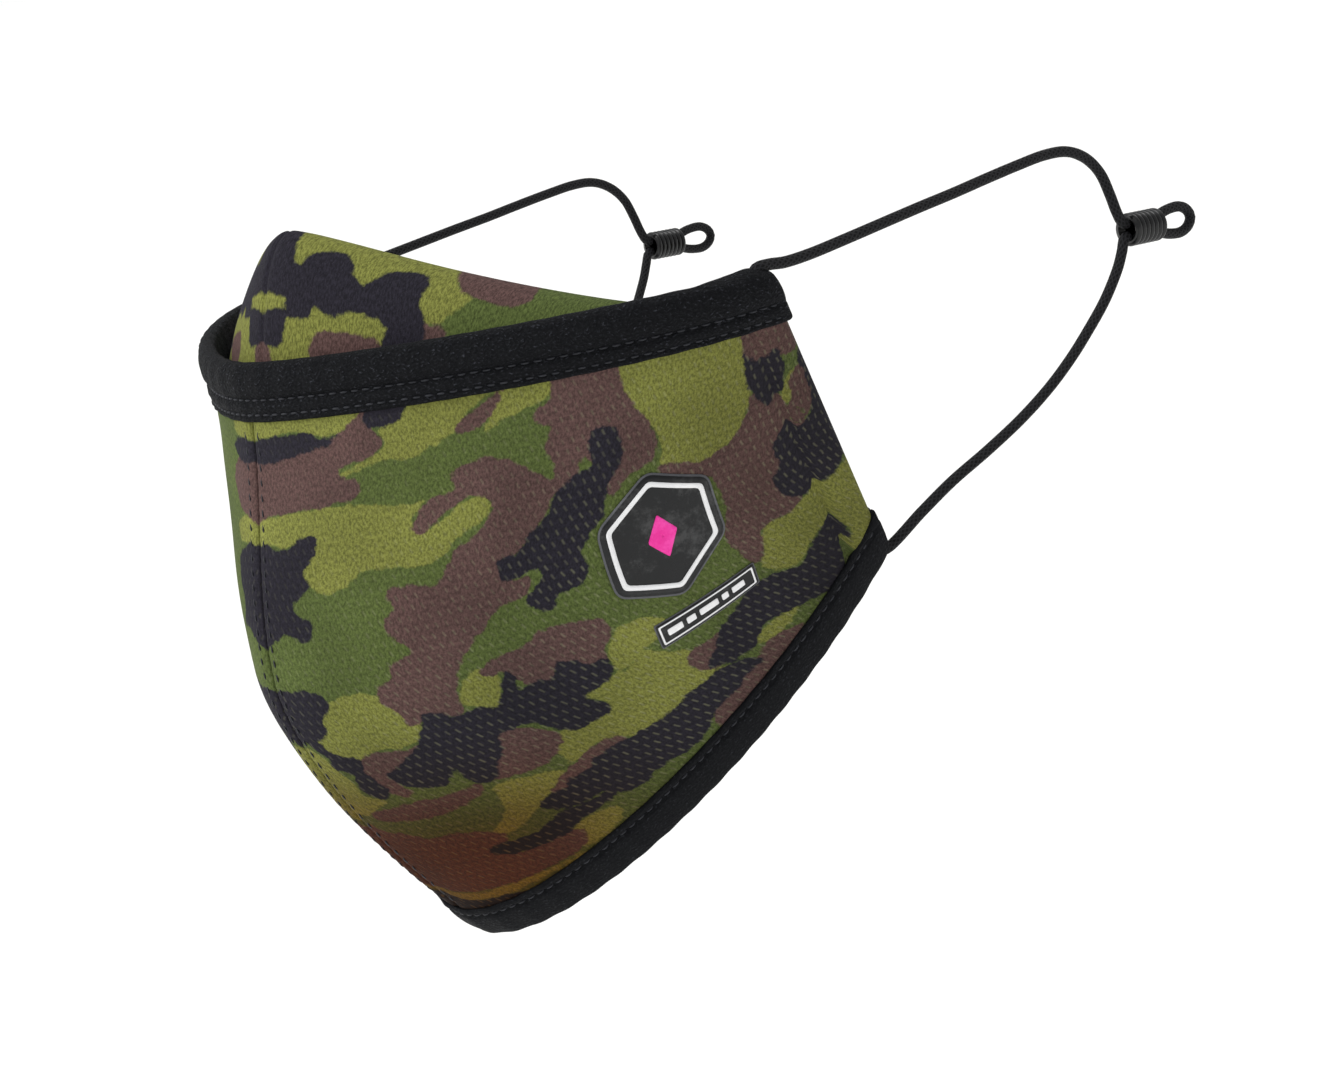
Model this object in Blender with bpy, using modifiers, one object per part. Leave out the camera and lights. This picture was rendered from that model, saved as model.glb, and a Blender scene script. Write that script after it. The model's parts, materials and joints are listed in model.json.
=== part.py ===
"""Reusable cloth face mask, camo, with two elastic ear loops and a cord adjuster on each.

The origin is the middle of the top rim, over the bridge of the nose. +X is the wearer's left,
-Y is forwards, away from the face, and +Z is up. Sizes are in millimetres, times MM.

Every layer of cloth is an offset of one surface, the cup: cup_surface(s, t) runs from the centre
seam (s = 0) to the ear edges (s = 1 on the wearer's left, -1 on the right), and from the top rim
(t = 0) to the bottom edge (t = 1).
"""

from math import cos, pi, sin

import bmesh
import bpy
from mathutils import Vector

MM = 0.001

# The cup
HALF_WIDTH = 84 * MM          # centre seam to ear edge, at the top
EAR_SETBACK = 73.4 * MM       # nose bridge back to the top of the ear edge
SIDE_LENGTH = 74.3 * MM       # the ear edge, top corner to bottom corner
SIDE_LEAN = Vector((-0.188, 0.404, -0.896))   # direction of the ear edge, going down
SEAM_HEIGHT = 136.5 * MM      # nose bridge down to the chin
NOSE_REACH = 10.3 * MM        # how far the seam stands forward over the nose
NOSE_LEVEL = 0.485            # where it does, as a share of the seam's height
CHIN_SETBACK = 27 * MM        # how far the chin end lies behind the nose bridge
CHIN_SWEEP = 1.55             # how late the seam turns back towards the chin
FRONT_ROUNDING = 25 * MM      # handle that rounds the front, at the rim
CHIN_ROUNDING = 28 * MM       # the same, at the bottom edge
RIM_FLARE = 36 * MM           # handle at the ear edge, at the rim
JAW_FLARE = 49 * MM           # the same, at the bottom edge
RIM_EAR_RUN = Vector((-0.05, 0.98, -0.04))    # direction of the rim as it meets the ear edge
JAW_EAR_RUN = Vector((0.28, 0.59, 0.76))      # direction of the bottom edge as it does

# Cloth
GAP = 0.3 * MM                # kept between pieces that touch
FLAP_GAP = 0.4 * MM           # kept between the shell and the bindings' outer flaps
LAYER_GAP = 0.7 * MM          # kept between layers of cloth, which bend over each other
END_GAP = 1.4 * MM            # kept between cloth and the sleeves at the ear edge
SEAM_GAP = 0.8 * MM           # between the two halves, at the centre seam
SHELL_THICKNESS = 0.8 * MM
LINER_THICKNESS = 0.8 * MM
TAPE_THICKNESS = 0.7 * MM
FILTER_THICKNESS = 0.9 * MM
FILTER_HALF_SPAN = 0.62       # share of each half that the filter covers, at its top
FILTER_TAPER = 0.2            # how much less it covers at its bottom
FILTER_TOP = 13.5 * MM        # below the rim
FILTER_BOTTOM = 46 * MM       # above the bottom edge
EDGE_SETBACK = 0.8 * MM       # the shell's cut edges, inside the bindings' folds

# The liner's part above the rim
CREST_RISE = 24.7 * MM        # the liner's peak, above the rim
CREST_SETBACK = 19 * MM       # the peak, behind the nose bridge
CREST_ROUNDING = 8 * MM
CREST_EAR_DROP = 5 * MM       # the liner's top edge at the ear, below the rim
CREST_EAR_HANDLE = Vector((-20, -25.9, -2.5)) * MM   # from the rim's ear corner, inwards
CREST_ROOT = 8 * MM           # below the rim, where the liner leaves the shell
CREST_SHARE = 0.24            # share of the liner's rows that lie above that
POCKET_CLOSING = (0.78, 0.95) # from the first t to the second, the pocket closes

# Bindings
TOP_BINDING_WIDTH = 10.8 * MM
BOTTOM_BINDING_WIDTH = 9.5 * MM
WIRE_WIDTH = 4 * MM
WIRE_THICKNESS = 0.6 * MM
WIRE_HALF_SPAN = 0.42         # share of each half of the rim that the nose wire covers
WIRE_DROP = 0.6 * MM          # below the rim

# Side casings and the cord in them
CORD_DIAMETER = 2.4 * MM
CASING_WIDTH = 8.6 * MM
CASING_WALL = 0.7 * MM
SLEEVE_WALL = 1.2 * MM
TOP_SLEEVE_LENGTH = 10.8 * MM
BOTTOM_SLEEVE_LENGTH = 8 * MM
CASING_DEPTH = CORD_DIAMETER + 2 * GAP + 2 * CASING_WALL
SLEEVE_STEP = SLEEVE_WALL - CASING_WALL   # the sleeve stands out this much over the casing
RIM_SLANT = 1.9 * MM          # how much the top sleeve's end slants, to follow the rim
JAW_SLANT = 3.2 * MM          # the same, at the bottom edge

# Adjusters
BARREL_LENGTH = 9.8 * MM
BARREL_RIBS = 6
RIB_HEIGHT = 0.3 * MM
BARREL_WALL = 0.4 * MM        # rubber between the two bores, and outside each of them
BORE_RADIUS = CORD_DIAMETER / 2 + 0.25 * MM
BORE_SPACING = 2 * BORE_RADIUS + BARREL_WALL
BARREL_RADIUS = BORE_SPACING / 2 + BORE_RADIUS + BARREL_WALL + RIB_HEIGHT
BARREL_FACE = Vector((83.4, 179.3, -16.2)) * MM   # middle of the end that faces the mask
BARREL_RUN = Vector((0.01, 1, -0.1)).normalized()
TAIL_REACH = 12 * MM          # the cord's loop past the barrel
TAIL_WIDTH = 6.4 * MM
# The loop's outline, from the upper bore: shares of its reach, and of its width above the middle
TAIL_OUTLINE = ((0.33, 0.42), (0.67, 0.46), (0.9, 0.3), (1, 0), (0.9, -0.3), (0.67, -0.46), (0.33, -0.42))

# Patches and stitching
PATCH_THICKNESS = 0.4 * MM
BADGE_RADIUS = 14.5 * MM
LABEL_LENGTH = 25 * MM
LABEL_WIDTH = 5.8 * MM
BADGE_PLACE = (0.698, 0.486)  # (s, t) of its middle
LABEL_PLACE = (0.716, 0.683)
BADGE_TILT = -0.01            # turned this far, in radians, from the cup's own rows
LABEL_TILT = -0.09
THREAD_RADIUS = 0.25 * MM
TOP_ROWS = (6.3 * MM, 9.4 * MM)      # below the rim
BOTTOM_ROW = 7.6 * MM                # above the bottom edge
SEAM_ROW = 2.2 * MM                  # beside the centre seam
HEM_ROW = 1.2 * MM                   # inboard of the casing
HEM_ROW_SPAN = (0.17, 0.86)          # the t at its two ends
ROW_SETBACK = 0.01                   # how far the rows on the bindings stop before the ends, in s
TACK_WIDTH = 1.4 * MM
TACK_MARGIN = 1 * MM                 # from the rim, and from the first row of stitching

# The free cord's route on the wearer's left, chosen by hand: from the top of the casing ...
UPPER_ROUTE = (
    (82.3, 70.9, 2.2), (82.3, 74.5, 2.2), (82.3, 79, 1.6), (82.4, 86, 1.6), (82.5, 95, 2.1),
    (82.6, 106, 2.8), (82.7, 117, 3.5), (82.8, 128, 4.1), (82.9, 138, 4.8), (83.0, 148, 5.4),
    (83.1, 157, 5.7), (83.3, 164, 4.9), (83.4, 169.5, 2.2), (83.4, 173.4, -2), (83.4, 175.4, -7),
    (83.4, 176.4, -11.6),
)
# ... and from the adjuster to the bottom of the casing.
LOWER_ROUTE = (
    (83.4, 176.1, -20.4), (83.1, 174.2, -24.2), (82.3, 169.6, -29.8), (81.1, 164, -35.2),
    (80, 157.9, -40.2), (78.7, 150.8, -45), (77.1, 142.5, -49.5), (75.3, 132.7, -53.7),
    (73.4, 122.5, -57.6), (71.8, 113.5, -61.8), (70.2, 106.4, -68.6),
)
ROUTE_STEP = 4 * MM           # between a free cord's points
MOUTH_DEPTH = 2 * MM          # the free cord's ends, inside the casing's mouths
LEAD = 1.9 * MM               # the straight length at a free cord's ends

SHELL_COLOUR = (0.20, 0.21, 0.08, 1)
LINER_COLOUR = (0.22, 0.24, 0.10, 1)
BLACK_TAPE = (0.014, 0.015, 0.017, 1)
BLACK_CORD = (0.010, 0.010, 0.011, 1)
BLACK_RUBBER = (0.020, 0.020, 0.022, 1)
BLACK_THREAD = (0.018, 0.018, 0.020, 1)
WHITE_FILTER = (0.78, 0.78, 0.76, 1)
BARE_STEEL = (0.55, 0.55, 0.56, 1)
PATCH_FILM = (0.02, 0.02, 0.022, 1)


# ---------------------------------------------------------------- the cup's surface

def bezier(points, u):
    a, b, c, d = points
    v = 1 - u
    return a * v**3 + b * 3 * v * v * u + c * 3 * v * u * u + d * u**3


def mix(a, b, share):
    return a * (1 - share) + b * share


def seam_point(t):
    """The centre seam's profile: forward over the nose, then back under the chin."""
    if t < NOSE_LEVEL:
        y = -NOSE_REACH * (1 - cos(pi * t / NOSE_LEVEL)) / 2
    else:
        below = (t - NOSE_LEVEL) / (1 - NOSE_LEVEL)
        y = -NOSE_REACH + (CHIN_SETBACK + NOSE_REACH) * below**CHIN_SWEEP
    return Vector((0, y, -SEAM_HEIGHT * t))


def ear_point(t):
    top = Vector((HALF_WIDTH, EAR_SETBACK, 0))
    return top + SIDE_LEAN.normalized() * SIDE_LENGTH * t


def mirrored(point, side):
    return Vector((point.x * side, point.y, point.z))


def cup_surface(s, t):
    """A point of the cup's outer face. A row of it is one Bezier curve from seam to ear edge."""
    start = seam_point(t)
    end = ear_point(t)
    run = mix(RIM_EAR_RUN, JAW_EAR_RUN, t).normalized()
    front = start + Vector((mix(FRONT_ROUNDING, CHIN_ROUNDING, t), 0, 0))
    flare = end - run * mix(RIM_FLARE, JAW_FLARE, t)
    return mirrored(bezier((start, front, flare, end), abs(s)), -1 if s < 0 else 1)


def cup_slopes(s, t):
    """How the surface moves with s and with t."""
    step = 0.004
    left = cup_surface(s - step, t)
    right = cup_surface(s + step, t)
    high = max(t - step, 0)
    low = min(t + step, 1)
    return (right - left).normalized(), (cup_surface(s, low) - cup_surface(s, high)) / (low - high)


def cup_normal(s, t):
    along, down = cup_slopes(min(max(s, -0.99), 0.99), t)
    return down.cross(along).normalized()


def cup_point(s, t, out):
    """A point at the height out above the cup's outer face. Inside it, out is negative."""
    return cup_surface(s, t) + cup_normal(s, t) * out


def rim_point(s, drop, out):
    """A point at the distance drop below the top rim. Above the rim, drop is negative."""
    down = cup_slopes(s, 0)[1]
    if drop < 0:
        return cup_surface(s, 0) + down.normalized() * drop + cup_normal(s, 0) * out
    return cup_point(s, drop / down.length, out)


def jaw_point(s, rise, out):
    """A point at the distance rise above the bottom edge. Below the edge, rise is negative."""
    down = cup_slopes(s, 1)[1]
    if rise < 0:
        return cup_surface(s, 1) - down.normalized() * rise + cup_normal(s, 1) * out
    return cup_point(s, 1 - rise / down.length, out)


def inset_station(t, inset):
    """The s at which a row lies at the distance inset from the ear edge."""
    edge = cup_surface(1, t)
    low, high = 0.5, 1.0
    for _ in range(24):
        middle = (low + high) / 2
        if (cup_surface(middle, t) - edge).length > inset:
            low = middle
        else:
            high = middle
    return low


def spread(start, end, count):
    return [start + (end - start) * i / (count - 1) for i in range(count)]


# ---------------------------------------------------------------- objects

def collection(name):
    made = bpy.data.collections.new(name)
    bpy.context.scene.collection.children.link(made)
    return made


def material(name, colour, roughness, metallic=0.0):
    made = bpy.data.materials.new(name)
    made.use_nodes = True
    shader = made.node_tree.nodes["Principled BSDF"]
    shader.inputs["Base Color"].default_value = colour
    shader.inputs["Roughness"].default_value = roughness
    shader.inputs["Metallic"].default_value = metallic
    made.diffuse_color = colour
    return made


def place(name, data, finish, home):
    made = bpy.data.objects.new(name, data)
    data.materials.append(finish)
    home.objects.link(made)
    return made


def sheet(name, rows, finish, home, thickness, outwards=False, ring=False):
    """A loft through rows of points, given a thickness to one side. A ring closes each row."""
    mesh = bmesh.new()
    grid = [[mesh.verts.new(point) for point in row] for row in rows]
    for upper, lower in zip(grid, grid[1:]):
        width = len(upper)
        for i in range(width if ring else width - 1):
            j = (i + 1) % width
            mesh.faces.new((upper[i], lower[i], lower[j], upper[j]))
    data = bpy.data.meshes.new(name)
    mesh.to_mesh(data)
    mesh.free()
    data.shade_smooth()
    made = place(name, data, finish, home)
    solid = made.modifiers.new("Thickness", "SOLIDIFY")
    solid.thickness = thickness
    solid.offset = 1 if outwards else -1
    return made


def catmull_rom(points, share):
    """A point on a smooth curve through the points, at a share of it from 0 to 1."""
    place_on = share * (len(points) - 1)
    i = min(int(place_on), len(points) - 2)
    u = place_on - i
    b, c = points[i], points[i + 1]
    a = points[i - 1] if i > 0 else b * 2 - c
    d = points[i + 2] if i + 2 < len(points) else c * 2 - b
    return (b * 2 + (c - a) * u + (a * 2 - b * 5 + c * 4 - d) * u**2 + (b * 3 - a - c * 3 + d) * u**3) / 2


def even_route(points, step):
    """Points at even distances along a smooth curve through the given ones."""
    fine = [catmull_rom(points, i / 400) for i in range(401)]
    length = sum((b - a).length for a, b in zip(fine, fine[1:]))
    count = max(round(length / step), 2)
    route = [fine[0]]
    walked = 0.0
    for a, b in zip(fine, fine[1:]):
        walked += (b - a).length
        if walked >= length * len(route) / count - 1e-9 and len(route) < count:
            route.append(b)
    route.append(fine[-1])
    return route


def tube(name, points, radius, finish, home, resolution=2):
    data = bpy.data.curves.new(name, "CURVE")
    data.dimensions = "3D"
    data.bevel_depth = radius
    data.bevel_resolution = resolution
    data.use_fill_caps = True
    line = data.splines.new("POLY")
    line.points.add(len(points) - 1)
    for point, target in zip(points, line.points):
        target.co = (*point, 1)
    return place(name, data, finish, home)


# ---------------------------------------------------------------- cloth layers

def liner_depth(t):
    """How deep the liner's outer face lies: the pocket closes towards the bottom edge."""
    closed = SHELL_THICKNESS + LAYER_GAP
    opened = tape_inner_face() + LAYER_GAP
    start, end = POCKET_CLOSING
    share = min(max((t - start) / (end - start), 0), 1)
    return mix(opened, closed, share * share * (3 - 2 * share))


def tape_inner_face():
    """How deep the top binding's inner flap reaches, behind the shell and the nose wire."""
    return SHELL_THICKNESS + WIRE_THICKNESS + 2 * GAP + TAPE_THICKNESS


def panel_end(t):
    return inset_station(t, CASING_WIDTH + END_GAP)


def off_seam(point, share, side):
    """Moves a half's point off the centre seam, less and less away from it."""
    return point + Vector((side * SEAM_GAP / 2 * (1 - share)**2, 0, 0))


def outer_panel(name, side, finish, home):
    top = EDGE_SETBACK / SEAM_HEIGHT
    rows = []
    for t in spread(top, 1 - top, 13):
        stations = [side * s for s in spread(0, panel_end(t), 13)]
        if side < 0:
            stations.reverse()
        rows.append([off_seam(cup_surface(s, t), abs(s), side) for s in stations])
    return sheet(name, rows, finish, home, SHELL_THICKNESS)


def crest_point(s):
    start = Vector((0, CREST_SETBACK, CREST_RISE))
    front = start + Vector((CREST_ROUNDING, 0, 0))
    t = CREST_EAR_DROP / SIDE_LENGTH
    end = cup_point(panel_end(t), t, -liner_depth(t))
    return bezier((start, front, ear_point(0) + CREST_EAR_HANDLE, end), s)


def liner_point(share, u):
    """A point of the liner's outer face: share runs seam to side, u from crest to bottom edge."""
    root = CREST_ROOT / cup_slopes(0, 0)[1].length
    if u >= CREST_SHARE:
        t = mix(root, 1 - EDGE_SETBACK / SEAM_HEIGHT, (u - CREST_SHARE) / (1 - CREST_SHARE))
        return cup_point(share * panel_end(t), t, -liner_depth(t))
    bottom = cup_point(share * panel_end(root), root, -liner_depth(root))
    top = crest_point(share)
    control = Vector(((top.x + bottom.x) / 2, (top.y + bottom.y) / 2, top.z))
    v = u / CREST_SHARE
    return top * (1 - v)**2 + control * 2 * v * (1 - v) + bottom * v * v


def liner_panel(name, side, finish, home):
    rows = []
    for u in spread(0, CREST_SHARE, 6) + spread(CREST_SHARE, 1, 12)[1:]:
        shares = spread(0, 1, 13)
        if side < 0:
            shares.reverse()
        rows.append([off_seam(mirrored(liner_point(share, u), side), share, side) for share in shares])
    return sheet(name, rows, finish, home, LINER_THICKNESS)


def filter_insert(finish, home):
    rows = []
    for share in spread(0, 1, 8):
        span = FILTER_HALF_SPAN * (1 - FILTER_TAPER * share)
        row = []
        for s in spread(-span, span, 17):
            length = cup_slopes(s, 0)[1].length
            t = mix(FILTER_TOP / length, 1 - FILTER_BOTTOM / length, share)
            depth = (SHELL_THICKNESS + liner_depth(0) - FILTER_THICKNESS) / 2
            row.append(cup_point(s, t, -depth))
        rows.append(row)
    return sheet("filter_insert", rows, finish, home, FILTER_THICKNESS)


def nose_wire(finish, home):
    depth = SHELL_THICKNESS + GAP
    drops = (WIRE_DROP, WIRE_DROP + WIRE_WIDTH)
    stations = spread(-WIRE_HALF_SPAN, WIRE_HALF_SPAN, 17)
    rows = [[rim_point(s, drop, -depth) for s in stations] for drop in drops]
    return sheet("nose_wire", rows, finish, home, WIRE_THICKNESS)


def fold_rows(edge_point, width, depth, stations):
    """The inner face of a tape folded over an edge: outer flap, round fold, inner flap."""
    middle = (FLAP_GAP - depth) / 2
    radius = (FLAP_GAP + depth) / 2
    rows = [[edge_point(s, drop, FLAP_GAP) for s in stations] for drop in (width, width / 2, 0)]
    for angle in (pi / 4, pi / 2, 3 * pi / 4):
        lift = radius * sin(angle)
        out = middle + radius * cos(angle)
        rows.append([edge_point(s, -lift, out) for s in stations])
    rows += [[edge_point(s, drop, -depth) for s in stations] for drop in (0, width / 2, width)]
    return rows


def top_binding(finish, home):
    end = panel_end(0)
    depth = tape_inner_face() - TAPE_THICKNESS
    rows = fold_rows(rim_point, TOP_BINDING_WIDTH, depth, spread(-end, end, 27))
    rows.reverse()
    return sheet("top_binding", rows, finish, home, TAPE_THICKNESS, outwards=True)


def bottom_binding(finish, home):
    end = panel_end(1)
    depth = liner_depth(1) + LINER_THICKNESS + LAYER_GAP
    rows = fold_rows(jaw_point, BOTTOM_BINDING_WIDTH, depth, spread(-end, end, 27))
    return sheet("bottom_binding", rows, finish, home, TAPE_THICKNESS, outwards=True)


# ---------------------------------------------------------------- side casings

def casing_axis(share):
    """A point of the left casing's axis, the line that the ear loop swings about."""
    ends = []
    for t in (0, 1):
        ends.append(cup_point(inset_station(t, CASING_WIDTH / 2), t, -CASING_DEPTH / 2))
    return mix(ends[0], ends[1], share)


def casing_ring(share, width, depth, slant):
    """A flattened round section of the casing. Slant moves its ear side up by that distance."""
    axis = (casing_axis(1) - casing_axis(0)).normalized()
    across = cup_surface(1, share) - cup_surface(inset_station(share, CASING_WIDTH), share)
    across = (across - axis * across.dot(axis)).normalized()
    thick = axis.cross(across)
    points = []
    for i in range(16):
        angle = 2 * pi * (i + 0.5) / 16
        flat = (width - depth) / 2 * (1 if cos(angle) > 0 else -1)
        reach = flat + depth / 2 * cos(angle)
        points.append(
            casing_axis(share) + across * reach + thick * depth / 2 * sin(angle)
            - axis * slant * reach / (width / 2)
        )
    return points


def channel(name, side, shares, slants, outer, wall, finish, home):
    width, depth = outer
    rows = []
    for share, slant in zip(shares, slants):
        ring = casing_ring(share, width, depth, slant)
        if side > 0:
            ring.reverse()
        rows.append([mirrored(point, side) for point in ring])
    return sheet(name, rows, finish, home, wall, ring=True)


def side_channel(word, side, cloth, tape, home):
    """The casing along one ear edge, with the tape sleeves that finish its two ends."""
    length = (casing_axis(1) - casing_axis(0)).length
    top_end = TOP_SLEEVE_LENGTH / length
    bottom_end = 1 - BOTTOM_SLEEVE_LENGTH / length
    apart = GAP / length
    plain = (CASING_WIDTH, CASING_DEPTH)
    proud = (CASING_WIDTH + 2 * SLEEVE_STEP, CASING_DEPTH + 2 * SLEEVE_STEP)
    channel("side_casing_" + word, side, spread(top_end + apart, bottom_end - apart, 7), [0] * 7,
            plain, CASING_WALL, cloth, home)
    channel("casing_top_sleeve_" + word, side, spread(0, top_end, 3), (-RIM_SLANT, 0, 0),
            proud, SLEEVE_WALL, tape, home)
    channel("casing_bottom_sleeve_" + word, side, spread(bottom_end, 1, 3), (0, 0, JAW_SLANT),
            proud, SLEEVE_WALL, tape, home)


# ---------------------------------------------------------------- ear loops

def cord(name, side, points, finish, home):
    return tube(name, [mirrored(point, side) for point in points], CORD_DIAMETER / 2, finish, home)


def bore_centres():
    """The two bores' middles on the barrel's face that looks to the mask, upper one first."""
    above = Vector((1, 0, 0)).cross(BARREL_RUN).normalized()
    if above.z < 0:
        above.negate()
    return BARREL_FACE + above * BORE_SPACING / 2, BARREL_FACE - above * BORE_SPACING / 2


def ear_loop(word, side, finish, home):
    """One side's cord: the length in the casing, two strands and the loop past the adjuster."""
    axis = (casing_axis(1) - casing_axis(0)).normalized()
    top = casing_axis(0) + axis * MOUTH_DEPTH
    bottom = casing_axis(1) - axis * MOUTH_DEPTH
    upper_bore, lower_bore = bore_centres()
    inside = [mix(top, bottom, share) for share in spread(0.01, 0.99, 4)]
    cord("ear_cord_" + word + "_in_casing", side, inside, finish, home)

    upper = [Vector(point) * MM for point in UPPER_ROUTE]
    leads = [top - axis * LEAD, upper_bore - BARREL_RUN * (LEAD + 2 * GAP)]
    points = [top] + even_route(leads[:1] + upper + leads[1:], ROUTE_STEP)
    points.append(upper_bore - BARREL_RUN * 2 * GAP)
    cord("ear_cord_" + word + "_upper", side, points, finish, home)

    lower = [Vector(point) * MM for point in LOWER_ROUTE]
    leads = [lower_bore - BARREL_RUN * (LEAD + 2 * GAP), bottom + axis * LEAD]
    points = [lower_bore - BARREL_RUN * 2 * GAP]
    points += even_route(leads[:1] + lower + leads[1:], ROUTE_STEP) + [bottom]
    cord("ear_cord_" + word + "_lower", side, points, finish, home)

    end = BARREL_FACE + BARREL_RUN * BARREL_LENGTH
    above = (upper_bore - lower_bore).normalized()
    bend = [upper_bore + BARREL_RUN * BARREL_LENGTH]
    for reach, rise in TAIL_OUTLINE:
        bend.append(end + BARREL_RUN * TAIL_REACH * reach + above * TAIL_WIDTH * rise)
    bend.append(lower_bore + BARREL_RUN * BARREL_LENGTH)
    tail = [upper_bore + BARREL_RUN * GAP] + even_route(bend, ROUTE_STEP / 2)
    tail.append(lower_bore + BARREL_RUN * GAP)
    cord("ear_cord_" + word + "_tail", side, tail, finish, home)


def adjuster(word, side, finish, home, cutters):
    """A ribbed rubber barrel, turned about its length, with two bores for the cord."""
    pitch = BARREL_LENGTH / BARREL_RIBS
    profile = [(0, 0)]
    for i in range(BARREL_RIBS):
        for share, height in ((0.05, -1), (0.3, 0), (0.8, 0)):
            profile.append((BARREL_RADIUS + height * RIB_HEIGHT, (i + share) * pitch))
    profile += [(BARREL_RADIUS - RIB_HEIGHT, BARREL_LENGTH), (0, BARREL_LENGTH)]
    outline = bpy.data.meshes.new("adjuster_outline")
    points = [(radius, 0, BARREL_LENGTH - height) for radius, height in profile]
    outline.from_pydata(points, [(i, i + 1) for i in range(len(points) - 1)], [])
    barrel = place("cord_adjuster_" + word, outline, finish, home)
    turn = barrel.modifiers.new("Turn", "SCREW")
    turn.steps = 14
    turn.render_steps = 14
    turn.use_merge_vertices = True
    turn.merge_threshold = 0.00001
    run = mirrored(BARREL_RUN, side)
    barrel.rotation_mode = "QUATERNION"
    barrel.rotation_quaternion = run.to_track_quat("Z", "Y")
    barrel.location = mirrored(BARREL_FACE, side)
    for number, centre in enumerate(bore_centres()):
        bpy.ops.mesh.primitive_cylinder_add(vertices=12, radius=BORE_RADIUS, depth=BARREL_LENGTH * 1.4)
        cutter = bpy.context.object
        cutter.name = f"adjuster_bore_{word}_{number}"
        for holder in list(cutter.users_collection):
            holder.objects.unlink(cutter)
        cutters.objects.link(cutter)
        cutter.location = mirrored(centre, side) + run * BARREL_LENGTH / 2
        cutter.rotation_mode = "QUATERNION"
        cutter.rotation_quaternion = barrel.rotation_quaternion
        cutter.hide_render = True
        cutter.display_type = "WIRE"
        cut = barrel.modifiers.new(f"Bore {number}", "BOOLEAN")
        cut.operation = "DIFFERENCE"
        cut.solver = "EXACT"
        cut.object = cutter


# ---------------------------------------------------------------- patches and stitching

def patch_point(centre, tilt, across, up, out):
    """A point of the shell's surface at a distance from a patch's middle, in its own directions."""
    s, t = centre
    along = (cup_surface(s + 0.01, t) - cup_surface(s - 0.01, t)) / 0.02
    down = (cup_surface(s, t + 0.01) - cup_surface(s, t - 0.01)) / 0.02
    x = across * cos(tilt) - up * sin(tilt)
    y = across * sin(tilt) + up * cos(tilt)
    return cup_point(s + x / along.length, t - y / down.length, out)


def emblem_patch(finish, home):
    """A round-cornered shield that lies on the left shell."""
    rows = []
    for up in spread(1, -1, 9):
        reach = 1 - abs(up)**2.6 * 0.45
        rows.append([
            patch_point(BADGE_PLACE, BADGE_TILT, across * reach * BADGE_RADIUS, up * BADGE_RADIUS, GAP)
            for across in spread(-1, 1, 9)
        ])
    return sheet("emblem_patch", rows, finish, home, PATCH_THICKNESS, outwards=True)


def label_strip(finish, home):
    rows = []
    for up in spread(LABEL_WIDTH / 2, -LABEL_WIDTH / 2, 3):
        rows.append([
            patch_point(LABEL_PLACE, LABEL_TILT, across, up, GAP)
            for across in spread(-LABEL_LENGTH / 2, LABEL_LENGTH / 2, 9)
        ])
    return sheet("label_strip", rows, finish, home, PATCH_THICKNESS, outwards=True)


def stitching(finish, home):
    """Rows of stitching, each a thread laid along its row."""
    over_tape = FLAP_GAP + TAPE_THICKNESS + GAP + THREAD_RADIUS
    over_shell = GAP + THREAD_RADIUS
    end = panel_end(0) - ROW_SETBACK
    for word, drop in zip(("upper", "lower"), TOP_ROWS):
        points = [rim_point(s, drop, over_tape) for s in spread(-end, end, 41)]
        tube("top_binding_stitching_" + word, points, THREAD_RADIUS, finish, home, 0)
    end = panel_end(1) - ROW_SETBACK
    points = [jaw_point(s, BOTTOM_ROW, over_tape) for s in spread(-end, end, 41)]
    tube("bottom_binding_stitching", points, THREAD_RADIUS, finish, home, 0)
    top = (TOP_BINDING_WIDTH + 2 * GAP) / SEAM_HEIGHT
    bottom = 1 - (BOTTOM_BINDING_WIDTH + 2 * GAP + TAPE_THICKNESS) / SEAM_HEIGHT
    row = SEAM_ROW / (3 * FRONT_ROUNDING)   # a Bezier leaves its start at 3 times its handle
    for word, side in (("left", 1), ("right", -1)):
        points = [cup_point(side * row, t, over_shell) for t in spread(top, bottom, 22)]
        tube("centre_seam_stitching_" + word, points, THREAD_RADIUS, finish, home, 0)
        points = []
        for t in spread(*HEM_ROW_SPAN, 12):
            s = inset_station(t, CASING_WIDTH + END_GAP + HEM_ROW)
            points.append(cup_point(side * s, t, over_shell))
        tube("casing_stitching_" + word, points, THREAD_RADIUS, finish, home, 0)


def bar_tack(word, side, finish, home):
    """The dense stitching that holds the top binding's end to the sleeve's edge."""
    end = inset_station(0, CASING_WIDTH + END_GAP + GAP + TACK_WIDTH)
    start = inset_station(0, CASING_WIDTH + END_GAP + GAP)
    stations = [side * s for s in (end, start)]
    if side < 0:
        stations.reverse()
    over = FLAP_GAP + TAPE_THICKNESS + GAP
    drops = spread(TACK_MARGIN, TOP_ROWS[0] - TACK_MARGIN, 3)
    rows = [[rim_point(s, drop, over) for s in stations] for drop in drops]
    return sheet("bar_tack_" + word, rows, finish, home, 2 * THREAD_RADIUS, outwards=True)


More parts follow.
